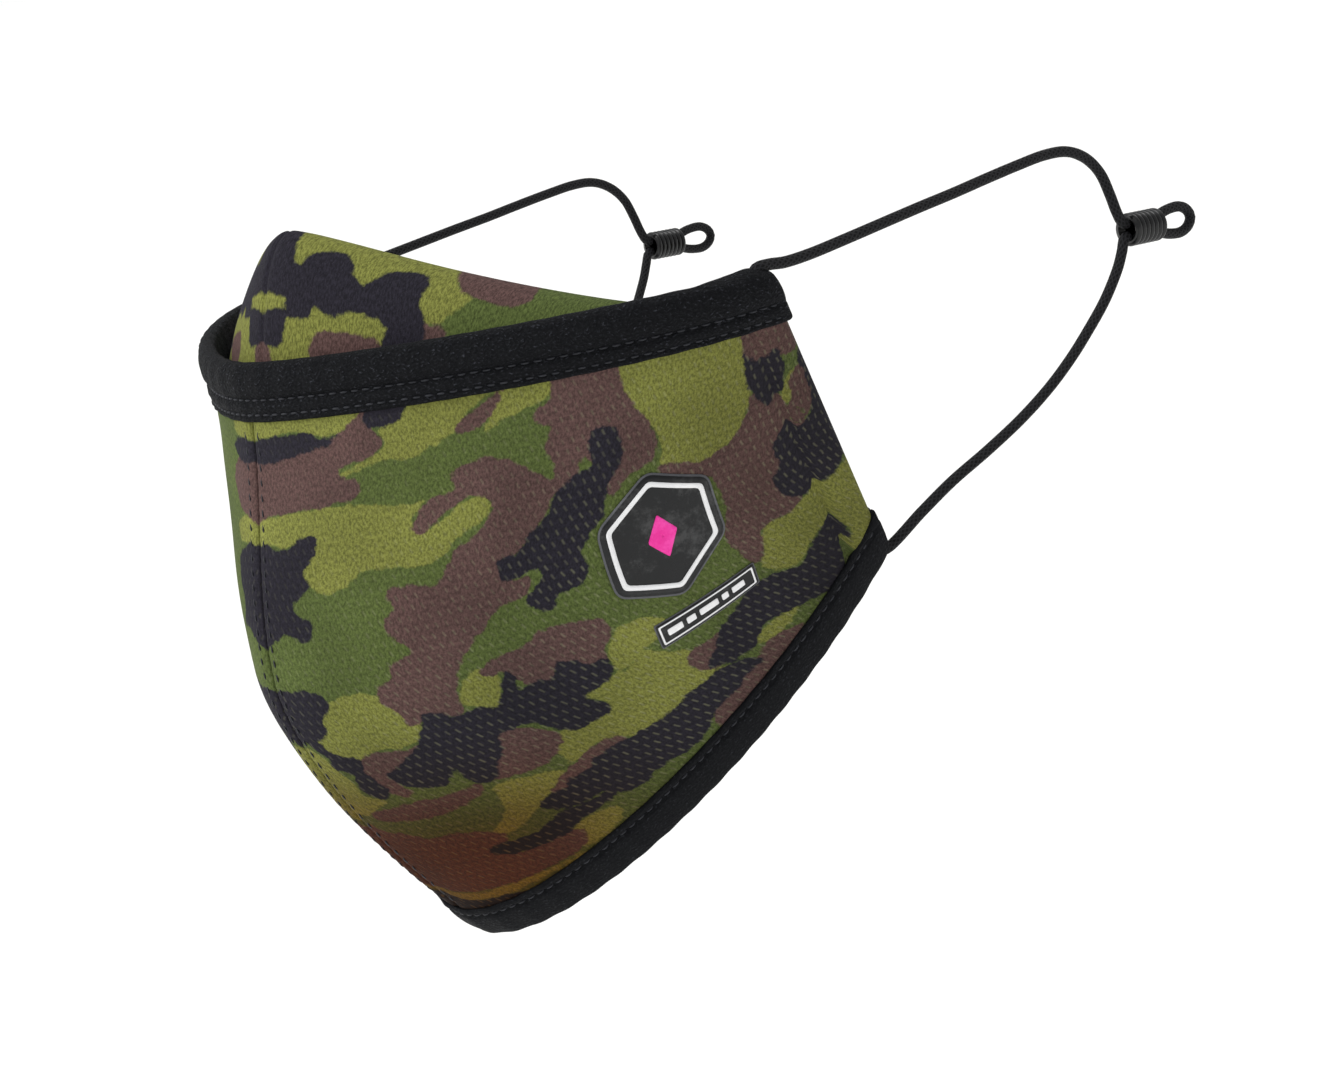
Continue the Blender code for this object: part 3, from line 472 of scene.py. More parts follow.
# ---------------------------------------------------------------- meshes

def mesh_object(name, points, faces, materials, body, smooth_faces=True):
    data = bpy.data.meshes.new(name)
    data.from_pydata([tuple(p) for p in np.asarray(points).reshape(-1, 3)], [], faces)
    data.update()
    made = bpy.data.objects.new(name, data)
    bpy.context.scene.collection.objects.link(made)
    for finish in materials:
        data.materials.append(finish)
    if smooth_faces:
        data.shade_smooth()
    if body:
        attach(made, body)
    return made


def grid_faces(rows, columns, flip, start=0, wrap=False):
    faces = []
    for i in range(rows - 1):
        for j in range(columns if wrap else columns - 1):
            k = (j + 1) % columns
            a, b = start + i * columns + j, start + (i + 1) * columns + j
            c, d = start + (i + 1) * columns + k, start + i * columns + k
            faces.append((a, d, c, b) if flip else (a, b, c, d))
    return faces


def tube_faces(rows, columns, flip, start=0):
    """The faces of a tube of rings, and of its two end caps."""
    first = tuple(range(start, start + columns))
    last = tuple(start + (rows - 1) * columns + j for j in range(columns))
    caps = [first, last[::-1]] if flip else [first[::-1], last]
    return grid_faces(rows, columns, flip, start, wrap=True) + caps


def set_values(made, name, values):
    made.data.attributes.new(name, "FLOAT", "POINT").data.foreach_set("value", values.astype(np.float32))


def set_vectors(made, name, values):
    kept = made.data.attributes.new(name, "FLOAT_VECTOR", "POINT")
    kept.data.foreach_set("vector", values.astype(np.float32).ravel())


def rounded_outline(outline):
    """A smooth closed curve through an outline's corners."""
    a = np.array(outline, float)
    before, after, second = np.roll(a, 1, 0), np.roll(a, -1, 0), np.roll(a, -2, 0)
    curve = [spline(before, a, after, second, u) for u in (0, 0.25, 0.5, 0.75)]
    return np.stack(curve, 1).reshape(-1, 2)


def print_distance(place, outlines):
    """Distance in millimetres from each place on the cloth to a colour's edge, negative inside it."""
    nearest = np.full(len(place), 1e3)
    inside = np.zeros(len(place), bool)
    for outline in outlines:
        curve = rounded_outline(outline)
        low, high = curve.min(0) - 6, curve.max(0) + 6
        near = ((place > low) & (place < high)).all(1)
        spot = place[near]
        odd = np.zeros(len(spot), bool)
        best = np.full(len(spot), 1e3)
        for a, b in zip(curve, np.roll(curve, -1, 0)):
            edge = b - a
            share = np.clip(((spot - a) @ edge) / max(edge @ edge, 1e-9), 0, 1)
            best = np.minimum(best, np.linalg.norm(spot - a - share[:, None] * edge, axis=1))
            crosses = (a[1] > spot[:, 1]) != (b[1] > spot[:, 1])
            rise = edge[1] if abs(edge[1]) > 1e-9 else 1e-9
            odd ^= crosses & (spot[:, 0] < edge[0] * (spot[:, 1] - a[1]) / rise + a[0])
        nearest[near] = np.minimum(nearest[near], best)
        inside[near] |= odd
    return np.where(inside, -nearest, nearest)


def print_cloth(made, place, patches, far, share):
    """Stores where each point lies on the flat cloth, and how far from each colour of its print.

    far is each point's place in the shell's print, which takes over as share goes from 0 to 1."""
    set_vectors(made, "cloth_place", np.column_stack([place, np.zeros(len(place))]))
    for word, outlines, further in zip(("light", "brown", "black"), patches, SHELL_PATCHES):
        near = np.clip(print_distance(place, outlines), -9, 9)
        set_values(made, "print_" + word,
                   near * (1 - share) + np.clip(print_distance(far, further), -9, 9) * share)


def tube_rings(path, radius, sides=14):
    """Rings round a path, with no twist, and how far along each lies."""
    path = np.asarray(path, float)
    run = unit(np.gradient(path, axis=0))
    across = np.zeros_like(path)
    across[0] = unit(np.cross(run[0], (0.3, 0.2, 0.9)))
    for i in range(1, len(path)):
        carried = across[i - 1] - run[i] * (across[i - 1] @ run[i])
        across[i] = carried / np.linalg.norm(carried)
    over = np.cross(run, across)
    angles = np.linspace(0, 2 * np.pi, sides, endpoint=False)
    radius = np.broadcast_to(radius, len(path))[:, None, None]
    rings = path[:, None] + radius * (across[:, None] * np.cos(angles)[:, None]
                                      + over[:, None] * np.sin(angles)[:, None])
    return rings, angles, walked_along(path)


def catmull_rom(points, shares):
    points = np.asarray(points, float)
    full = np.concatenate([[points[0] * 2 - points[1]], points, [points[-1] * 2 - points[-2]]])
    place = np.asarray(shares) * (len(points) - 1)
    i = np.minimum(place.astype(int), len(points) - 2)
    u = (place - i)[:, None]
    return spline(full[i], full[i + 1], full[i + 2], full[i + 3], u)


def even_path(points, step):
    """A smooth path through the points, with its own points at even distances."""
    fine = catmull_rom(points, np.linspace(0, 1, 3000))
    walked = walked_along(fine)
    wanted = np.linspace(0, walked[-1], max(int(walked[-1] / step), 2) + 1)
    return at_distances(wanted, walked, fine)


# ---------------------------------------------------------------- materials

def add_node(tree, kind, inputs=None, **settings):
    """Adds a shader node. Inputs are values or other nodes' outputs, by name or number."""
    node = tree.nodes.new(kind)
    for key, value in settings.items():
        setattr(node, key, value)
    for key, value in (inputs or {}).items():
        socket = node.inputs[key]
        if isinstance(value, bpy.types.NodeSocket):
            tree.links.new(value, socket)
        else:
            socket.default_value = value
    return node


def new_material(name, note, **shader_values):
    made = bpy.data.materials.new(name)
    made.use_nodes = True
    made["note"] = note
    tree = made.node_tree
    shader = tree.nodes["Principled BSDF"]
    for key, value in shader_values.items():
        shader.inputs[key.replace("_", " ")].default_value = value
    return made, tree, shader


def calc(tree, operation, *values):
    return add_node(tree, "ShaderNodeMath", dict(enumerate(values)), operation=operation).outputs[0]


def blend_colour(tree, share, first, second, mode="MIX"):
    node = add_node(tree, "ShaderNodeMix", {0: share, 6: first, 7: second}, data_type="RGBA",
                    blend_type=mode)
    return node.outputs[2]


def ramp(tree, value, low, high, to_low=0.0, to_high=1.0):
    node = add_node(tree, "ShaderNodeMapRange",
                    {"Value": value, "From Min": low, "From Max": high, "To Min": to_low, "To Max": to_high},
                    interpolation_type="SMOOTHSTEP")
    return node.outputs[0]


def noise(tree, place, scale, detail=2.0, roughness=0.5):
    node = add_node(tree, "ShaderNodeTexNoise",
                    {"Vector": place, "Scale": scale, "Detail": detail, "Roughness": roughness})
    return node.outputs[0]


def attribute(tree, name, output):
    return add_node(tree, "ShaderNodeAttribute", attribute_name=name).outputs[output]


def stretched(tree, place, scale):
    return add_node(tree, "ShaderNodeVectorMath", {0: place, 1: scale}, operation="MULTIPLY").outputs[0]


def bump(tree, shader, height, distance, strength=1.0):
    node = add_node(tree, "ShaderNodeBump", {"Height": height, "Distance": distance, "Strength": strength})
    tree.links.new(node.outputs[0], shader.inputs["Normal"])


def camo_colours(tree, place, edge_softness, wobble):
    """The print's four colours, with edges that wander a little."""
    palette = bpy.context.scene.mask_colours
    drift = calc(tree, "MULTIPLY", calc(tree, "SUBTRACT", noise(tree, place, 0.4, 3.0, 0.65), 0.5), wobble)
    shade = tuple(palette.green)
    for word in ("light", "brown", "black"):
        edge = calc(tree, "ADD", attribute(tree, "print_" + word, 2), drift)
        mask = ramp(tree, edge, -edge_softness, edge_softness, 1.0, 0.0)
        shade = blend_colour(tree, mask, shade, tuple(getattr(palette, word)))
    return shade


def knit_marks(tree, place):
    """Staggered slanted openings of the mesh knit: 1 inside a mark, 0 between them."""
    parts = add_node(tree, "ShaderNodeSeparateXYZ", {0: place})
    across, down = parts.outputs[0], parts.outputs[1]
    pitch_across, pitch_down = 2.15, 2.3  # millimetres from one mark to the next
    lean_across, lean_down = 0.45, 0.89   # direction of a mark's long side
    row = calc(tree, "FLOOR", calc(tree, "DIVIDE", down, pitch_down))
    stagger = calc(tree, "MULTIPLY", calc(tree, "MODULO", row, 2.0), pitch_across / 2)
    column = calc(tree, "DIVIDE", calc(tree, "ADD", across, stagger), pitch_across)
    x = calc(tree, "MULTIPLY", calc(tree, "SUBTRACT", calc(tree, "FRACT", column), 0.5), pitch_across)
    y = calc(tree, "MULTIPLY",
             calc(tree, "SUBTRACT", calc(tree, "FRACT", calc(tree, "DIVIDE", down, pitch_down)), 0.5),
             pitch_down)
    along = calc(tree, "ADD", calc(tree, "MULTIPLY", x, lean_across), calc(tree, "MULTIPLY", y, lean_down))
    over = calc(tree, "SUBTRACT", calc(tree, "MULTIPLY", x, lean_down),
                calc(tree, "MULTIPLY", y, lean_across))
    long_side = ramp(tree, calc(tree, "ABSOLUTE", along), 0.4, 0.9, 1.0, 0.0)
    short_side = ramp(tree, calc(tree, "ABSOLUTE", over), 0.08, 0.4, 1.0, 0.0)
    cell = add_node(tree, "ShaderNodeCombineXYZ", {0: calc(tree, "FLOOR", column), 1: row})
    level = add_node(tree, "ShaderNodeTexWhiteNoise", {0: cell.outputs[0]}, noise_dimensions="2D").outputs[0]
    mark = calc(tree, "MULTIPLY", calc(tree, "MULTIPLY", long_side, short_side),
                ramp(tree, level, 0.0, 1.0, 0.45, 1.0))
    return mark, across, down


def mesh_knit(name, note, marks=1.0, reverse=False):
    """Camo polyester mesh knit: light slanted marks where the knit opens, over a fine heather, with painted
    shade.
    """
    made, tree, shader = new_material(name, note, Roughness=0.82, Specular_IOR_Level=0.12)
    place = attribute(tree, "cloth_place", 1)
    shade = camo_colours(tree, place, 0.34, 2.6)
    mark, across, down = knit_marks(tree, place)
    heather = noise(tree, stretched(tree, place, (1.9, 1.2, 1.0)), 1.0, 3.0, 0.8)
    shade = blend_colour(tree, 1.0, shade, ramp(tree, heather, 0.34, 0.66, 0.6, 1.42), "MULTIPLY")
    patchy = noise(tree, place, 0.045, 2.0, 0.5)
    shade = blend_colour(tree, 1.0, shade, ramp(tree, patchy, 0.3, 0.7, 0.86, 1.10), "MULTIPLY")
    # The marks show most low down and towards the ear, where the cloth is stretched most.
    stretch = calc(tree, "ADD", calc(tree, "MULTIPLY", across, 0.006), calc(tree, "MULTIPLY", down, 0.0075))
    stretch = calc(tree, "MULTIPLY", ramp(tree, stretch, 0.18, 1.0, 0.12, 1.0),
                   ramp(tree, patchy, 0.3, 0.65, 0.6, 1.0))
    amount = calc(tree, "MULTIPLY", calc(tree, "MULTIPLY", mark, stretch), 0.8 * marks)
    pale = blend_colour(tree, 0.3, shade, srgb("a8a888"))
    shade = blend_colour(tree, amount, shade, pale)
    # Painted shade: redder and darker under the chin, and darker along the bottom and the ear edge.
    low = calc(tree, "MULTIPLY", ramp(tree, down, 78.0, 118.0), ramp(tree, across, 20.0, 80.0, 1.0, 0.0))
    warm_chin_shade = blend_colour(tree, low, (1, 1, 1, 1), srgb("d79b6c"))
    shade = blend_colour(tree, 1.0, shade, warm_chin_shade, "MULTIPLY")
    # Painted shade towards the ear edge and along the bottom.
    outer = calc(tree, "ADD", ramp(tree, across, 78.0, 128.0, 0.0, 0.55),
                 ramp(tree, down, 62.0, 112.0, 0.0, 0.5))
    shade = blend_colour(tree, calc(tree, "MULTIPLY", outer, 0.62), shade,
                         blend_colour(tree, 1.0, shade, srgb("7c6c58"), "MULTIPLY"))
    if reverse:
        shade = blend_colour(tree, 0.35, shade, srgb("8b8a80"))
    tree.links.new(shade, shader.inputs["Base Color"])
    height = calc(tree, "ADD", calc(tree, "MULTIPLY", mark, -0.6), calc(tree, "MULTIPLY", heather, 0.5))
    bump(tree, shader, height, 0.00022, 0.8)
    tree.links.new(ramp(tree, heather, 0.2, 0.8, 0.74, 0.9), shader.inputs["Roughness"])
    return made


def brushed_knit(name, note, reverse=False):
    """Camo brushed knit: fine upright ribs with a short nap, and no openings."""
    made, tree, shader = new_material(name, note, Roughness=0.9, Specular_IOR_Level=0.08, Sheen_Weight=0.03)
    place = attribute(tree, "cloth_place", 1)
    shade = camo_colours(tree, place, 0.45, 2.6)
    fibre = noise(tree, stretched(tree, place, (2.3, 0.8, 1.0)), 1.0, 3.0, 0.8)
    fleck = noise(tree, place, 5.5, 2.0, 0.7)
    shade = blend_colour(tree, 1.0, shade, ramp(tree, fibre, 0.34, 0.66, 0.55, 1.5), "MULTIPLY")
    shade = blend_colour(tree, ramp(tree, fleck, 0.62, 0.8, 0.0, 0.35), shade, srgb("8f8d84"))
    if reverse:
        shade = blend_colour(tree, 0.4, shade, srgb("8b8a80"))
    tree.links.new(shade, shader.inputs["Base Color"])
    bump(tree, shader, calc(tree, "ADD", fibre, calc(tree, "MULTIPLY", fleck, 0.4)), 0.0003, 0.8)
    return made


def knit_tape(name, note, lint_highlight_level, relief):
    """Black knitted tape: rows of small loops that catch the light in painted highlights, matt between them.
    """
    palette = bpy.context.scene.mask_colours
    made, tree, shader = new_material(name, note, Roughness=0.8, Specular_IOR_Level=0.12)
    place = attribute(tree, "cloth_place", 1)
    loops = add_node(tree, "ShaderNodeTexVoronoi",
                     {"Vector": stretched(tree, place, (0.95, 1.5, 1.0)), "Randomness": 0.8, "Scale": 1.0})
    lint_highlight = noise(tree, stretched(tree, place, (1.5, 2.2, 1.0)), 1.0, 3.0, 0.75)
    # Painted highlight: the loops' middles, where the lint is thick, take the highlight colour.
    light = calc(tree, "MULTIPLY", ramp(tree, loops.outputs[0], 0.1, 0.6, 1.0, 0.1),
                 ramp(tree, lint_highlight, 0.5, 0.7))
    shade = blend_colour(tree, calc(tree, "MULTIPLY", light, lint_highlight_level), tuple(palette.binding),
                         tuple(palette.lint_highlight))
    tree.links.new(shade, shader.inputs["Base Color"])
    tree.links.new(ramp(tree, lint_highlight, 0.3, 0.7, 0.9, 0.66), shader.inputs["Roughness"])
    height = calc(tree, "ADD", calc(tree, "MULTIPLY", loops.outputs[0], -0.8),
                  calc(tree, "MULTIPLY", lint_highlight, 0.7))
    bump(tree, shader, height, relief, 0.9)
    return made


def braided_elastic():
    """Black braided elastic: two sets of strands that cross over the round cord, with painted highlights on
    their crests.
    """
    palette = bpy.context.scene.mask_colours
    made, tree, shader = new_material("black_braided_elastic", "polyester braid over rubber, matt",
                                      Roughness=0.6, Specular_IOR_Level=0.15)
    parts = add_node(tree, "ShaderNodeSeparateXYZ", {0: attribute(tree, "cord_place", 1)})
    braid_pitch, strands = 1.5, 8.0  # millimetres to a strand's repeat, and strands each way round
    along = calc(tree, "MULTIPLY", parts.outputs[0], 2 * np.pi / braid_pitch)
    turn = calc(tree, "MULTIPLY", parts.outputs[1], strands)
    right = calc(tree, "SINE", calc(tree, "ADD", along, turn))
    left = calc(tree, "SINE", calc(tree, "SUBTRACT", along, turn))
    braid = calc(tree, "MAXIMUM", right, left)
    # Painted highlight: the strands' crests are lighter than the grooves between them.
    tree.links.new(blend_colour(tree, ramp(tree, braid, 0.2, 1.0), tuple(palette.cord), srgb("232326")),
                   shader.inputs["Base Color"])
    bump(tree, shader, braid, 0.00012, 0.7)
    return made


def moulded_rubber():
    """Black moulded rubber: smooth and half glossy, with faint handling marks."""
    palette = bpy.context.scene.mask_colours
    made, tree, shader = new_material("black_moulded_rubber", "soft moulded rubber, half glossy",
                                      Specular_IOR_Level=0.3, Coat_Weight=0.3, Coat_Roughness=0.12)
    place = add_node(tree, "ShaderNodeTexCoord").outputs["Object"]
    marks = noise(tree, place, 900.0, 3.0, 0.6)
    tree.links.new(ramp(tree, marks, 0.35, 0.7, 0.3, 0.46), shader.inputs["Roughness"])
    tree.links.new(blend_colour(tree, ramp(tree, marks, 0.4, 0.8), tuple(palette.rubber), srgb("131417")),
                   shader.inputs["Base Color"])
    bump(tree, shader, marks, 0.00004, 0.5)
    return made


def sewing_thread():
    """Black polyester thread, twisted, with a slight sheen."""
    palette = bpy.context.scene.mask_colours
    made, tree, shader = new_material("black_sewing_thread", "twisted polyester thread", Roughness=0.55,
                                      Specular_IOR_Level=0.3)
    place = add_node(tree, "ShaderNodeTexCoord").outputs["Object"]
    twist = noise(tree, place, 2600.0, 1.0, 0.5)
    tree.links.new(blend_colour(tree, ramp(tree, twist, 0.4, 0.7), tuple(palette.thread), srgb("2b2c31")),
                   shader.inputs["Base Color"])
    bump(tree, shader, twist, 0.00008, 0.6)
    return made


def printed_film(name, note, ground, roughness):
    """Heat-applied film: an even ink with the knit's grain pressed faintly through it."""
    made, tree, shader = new_material(name, note, Specular_IOR_Level=0.3)
    place = add_node(tree, "ShaderNodeTexCoord").outputs["Object"]
    grain = noise(tree, place, 700.0, 3.0, 0.6)
    wear = noise(tree, place, 110.0, 5.0, 0.8)
    worn = tuple(min(c * 1.3 + 0.05, 1) for c in ground[:3]) + (1.0,)
    tree.links.new(blend_colour(tree, ramp(tree, wear, 0.48, 0.68, 0.0, 0.8), ground, worn),
                   shader.inputs["Base Color"])
    tree.links.new(ramp(tree, grain, 0.3, 0.7, roughness - 0.08, roughness + 0.1), shader.inputs["Roughness"])
    bump(tree, shader, grain, 0.00006, 0.6)
    return made


def filter_fleece():
    """White melt-blown fleece: matt, with an embossed grid of small points."""
    made, tree, shader = new_material("melt_blown_fleece", "melt-blown fleece", Roughness=0.95)
    place = add_node(tree, "ShaderNodeTexCoord").outputs["Object"]
    dots = add_node(tree, "ShaderNodeTexVoronoi", {"Vector": place, "Scale": 700.0, "Randomness": 0.1})
    fuzz = noise(tree, place, 1500.0, 3.0, 0.6)
    tree.links.new(blend_colour(tree, ramp(tree, fuzz, 0.35, 0.7), srgb("e4e4e0"), srgb("f1f1ee")),
                   shader.inputs["Base Color"])
    bump(tree, shader, calc(tree, "ADD", dots.outputs[0], fuzz), 0.0001, 0.6)
    return made


def steel_wire():
    """Bare annealed steel, drawn lengthwise."""
    made, tree, shader = new_material("annealed_steel", "flat annealed wire", Metallic=1.0)
    place = add_node(tree, "ShaderNodeTexCoord").outputs["Object"]
    drawn = noise(tree, stretched(tree, place, (60.0, 60.0, 2500.0)), 1.0, 3.0, 0.6)
    tree.links.new(ramp(tree, drawn, 0.3, 0.7, 0.28, 0.45), shader.inputs["Roughness"])
    tree.links.new(blend_colour(tree, drawn, srgb("a9aaad"), srgb("c2c3c6")), shader.inputs["Base Color"])
    return made


def finish(name):
    """A material by name, made the first time it is wanted."""
    palette = bpy.context.scene.mask_colours
    makers = {
        "printed_mesh_knit": lambda: mesh_knit("printed_mesh_knit", "printed polyester mesh knit"),
        "printed_mesh_reverse": lambda: mesh_knit("printed_mesh_reverse", "the same from behind", 0.4, True),
        "printed_brushed_knit": lambda: brushed_knit("printed_brushed_knit", "printed brushed knit"),
        "black_rim_tape": lambda: knit_tape("black_rim_tape", "open black knit tape", 1.0, 0.0006),
        "black_jaw_tape": lambda: knit_tape("black_jaw_tape", "closer black knit tape", 0.4, 0.00022),
        "black_braided_elastic": braided_elastic,
        "black_moulded_rubber": moulded_rubber,
        "black_sewing_thread": sewing_thread,
        "black_film": lambda: printed_film("black_film", "heat-applied film", tuple(palette.film), 0.34),
        "film_border": lambda: printed_film("film_border", "its bare border", srgb("55565a"), 0.4),
        "white_ink": lambda: printed_film("white_ink", "white ink on film", tuple(palette.white_ink), 0.45),
        "pink_ink": lambda: printed_film("pink_ink", "pink ink on film", tuple(palette.pink_ink), 0.4),
        "melt_blown_fleece": filter_fleece,
        "annealed_steel": steel_wire,
    }
    return bpy.data.materials.get(name) or makers[name]()


# ---------------------------------------------------------------- cloth pieces

def shell_half(word, side):
    """One half of the outer shell, sewn back on itself at the ear edge to hold the cord."""
    g, sewing = props()
    rows = 132
    t = np.linspace(EDGE_MARGIN / g.seam_height, 1 - EDGE_MARGIN / g.seam_height, rows)[:, None]
    hem = inset_station(t[:, 0], sewing.casing_width)[:, None]
    flat_s = hem * np.linspace(0, 1, 104)[None] ** 0.97
    t_flat = np.broadcast_to(t, flat_s.shape)
    points = cup(flat_s, t_flat)
    normal = cup_frame(flat_s, t_flat)[0]
    across = distances(points, 1)
    to_hem = across[:, -1:] - across
    # The seam is a shallow groove with puckers along it, and the hem's stitches pull the cloth in.
    down = np.broadcast_to(distances(points, 0)[:, :1], across.shape)
    pucker = np.cos(down * 2 * np.pi / (3.1 * MM))
    out = -0.75 * MM * np.exp(-(across / (0.9 * MM))**2)
    out += 0.16 * MM * pucker * np.exp(-((across - 2.8 * MM) / (2.6 * MM))**2)
    hem_pull = np.exp(-(to_hem / (1.5 * MM))**2)
    out += hem_pull * (-0.45 * MM + 0.16 * MM * np.cos(down * 2 * np.pi / CASING_PUCKER))
    free = smooth((t - 0.09) / 0.1) * smooth((0.91 - t) / 0.1)
    out += smooth(across / (12 * MM)) * smooth(to_hem / (14 * MM)) * free * 0.6 * MM * waves(
        mirror(points, side), 34 * MM, 4)
    points = points + normal * out[..., None]
    # Past the stitches: over the cord, round the edge and back on the inside.
    edge = ear_edge(t[:, 0])
    start = cup(hem[:, 0], t[:, 0])
    thin = unit(cup_frame(np.full(rows, 0.985), t[:, 0])[0])
    outward = edge - start
    width = np.linalg.norm(outward, axis=1)
    outward = unit(outward)
    round_over = sewing.casing_depth / 2
    ring = []
    for e in np.linspace(0.06, 1, 15):
        reach = (width - round_over) * e
        swell = 0.5 * MM * np.sin(np.pi * np.clip(e * 0.9, 0, 1)) - 0.45 * MM * np.exp(-(e * 7)**2)
        crumple = 0.16 * MM * np.cos(down[:, 0] * 2 * np.pi / CASING_PUCKER) * np.exp(-(e * 5)**2)
        ring.append(start + outward * reach[:, None] + thin * (swell + crumple)[:, None])
    for angle in np.linspace(np.pi / 9, np.pi, 9):
        centre = start + outward * (width - round_over)[:, None] - thin * round_over
        ring.append(centre + outward * round_over * np.sin(angle) + thin * round_over * np.cos(angle))
    for e in np.linspace(0.9, 0, 9):
        lift = 1.7 * MM * (1 - e)**2
        reach = (width - round_over) * e
        ring.append(start + outward * reach[:, None] - thin * (2 * round_over - lift))
    points = np.concatenate([points, np.stack(ring, 1)], 1)
    place = np.stack([distances(points, 1), distances(points, 0)], -1) / MM
    place[..., 1] += EDGE_MARGIN / MM
    columns = points.shape[1]
    made = mesh_object("shell_" + word, mirror(points, side), grid_faces(rows, columns, side < 0),
                       [finish("printed_mesh_knit"), finish("printed_mesh_reverse")], "mask")
    place = place.reshape(-1, 2)
    # The right half is cut elsewhere from the cloth, so away from the seam its print differs.
    far = np.column_stack([132 - place[:, 0] * 0.98, 138 - place[:, 1]])
    print_cloth(made, place, SHELL_PATCHES, far, smooth((place[:, 0] - 5) / 16) * (side < 0))
    thick = made.modifiers.new("Thickness", "SOLIDIFY")
    thick.thickness = sewing.shell_thickness
    thick.offset = -1
    thick.material_offset = 1
    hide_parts("outer_panel_" + word, "side_casing_" + word, "casing_stitching_" + word)


def liner_surface(share, w):
    """Points of the liner's outer face: share runs seam to side, w from top edge to bottom."""
    g, sewing = props()
    root = 8 * MM / np.linalg.norm(cup_frame(0.0, 0.0)[2])
    last = 1 - 0.8 * MM / g.seam_height
    share, w = np.broadcast_arrays(np.asarray(share, float), np.asarray(w, float))
    t = root + (last - root) * np.clip((w - CREST_SHARE) / (1 - CREST_SHARE), 0, 1)
    depth = sewing.liner_depth + (1.5 * MM - sewing.liner_depth) * smooth((t - 0.78) / 0.17)
    low = off_cup(share * inset_station(t, sewing.casing_width), t, -depth)
    corner = np.array(5 * MM / g.side_length)
    end = off_cup(inset_station(corner, sewing.casing_width), corner, -np.array(sewing.liner_depth))
    start = np.array((0, g.crest_setback, g.crest_rise))
    front = start + np.array((g.crest_rounding, 0, 0))
    top = bezier(start, front, ear_edge(0.0) + np.array(g.crest_handle), end, share[..., None])
    control = np.stack([(top[..., 0] + low[..., 0]) / 2, (top[..., 1] + low[..., 1]) / 2, top[..., 2]], -1)
    v = np.clip(w / CREST_SHARE, 0, 1)[..., None]
    return top * (1 - v)**2 + control * 2 * v * (1 - v) + low * v * v


def liner_half(word, side):
    """One half of the liner: doubled cloth, folded over along its top edge."""
    _, sewing = props()
    share = np.linspace(0, 1, 92)[None]
    w = np.concatenate([np.linspace(0, CREST_SHARE, 34), np.linspace(CREST_SHARE, 1, 64)[1:]])[:, None]
    outer = liner_surface(share, w)
    slope_down = np.gradient(outer, axis=0)
    slope_across = np.gradient(outer, axis=1)
    normal = unit(np.cross(slope_down, slope_across))
    across = distances(outer, 1)
    depth_in = distances(outer, 0)
    sway = 0.35 * MM * waves(mirror(outer, side), 26 * MM, 9) * smooth(across / (8 * MM))
    sway = sway * smooth((0.86 - w) / 0.1)
    sway -= 0.5 * MM * np.exp(-(across / (0.8 * MM))**2)
    outer = outer + normal * sway[..., None]
    half = sewing.liner_thickness / 2
    middle = outer - normal * half
    up = unit(outer[0] - outer[1])
    fold = [middle[0] + normal[0] * half * np.cos(a) + up * half * np.sin(a)
            for a in np.linspace(0, np.pi, 7)[1:-1]]
    inner = outer - normal * 2 * half
    points = np.concatenate([inner[::-1], np.array(fold)[::-1], outer])
    rows, columns = points.shape[:2]
    made = mesh_object("liner_" + word, mirror(points, side), grid_faces(rows, columns, side < 0),
                       [finish("printed_brushed_knit")], "mask")
    over = np.concatenate([depth_in[::-1], np.zeros((5, columns)), depth_in])
    wide = np.concatenate([across[::-1], np.repeat(across[:1], 5, 0), across])
    place = np.stack([wide, over], -1).reshape(-1, 2) / MM
    # Down inside the mask the liner shows another stretch of the shell's print.
    far = np.column_stack([place[:, 0] + 8, 140 - place[:, 1] * 0.85] if side > 0
                          else [place[:, 0] + 14, place[:, 1] * 0.85 + 6])
    share = np.maximum(smooth((place[:, 1] - 26) / 14), smooth((place[:, 0] - 56) / 14))
    print_cloth(made, place, (LINER_LIGHT, LINER_BROWN, LINER_BLACK), far, share)
    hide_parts("liner_panel_" + word)


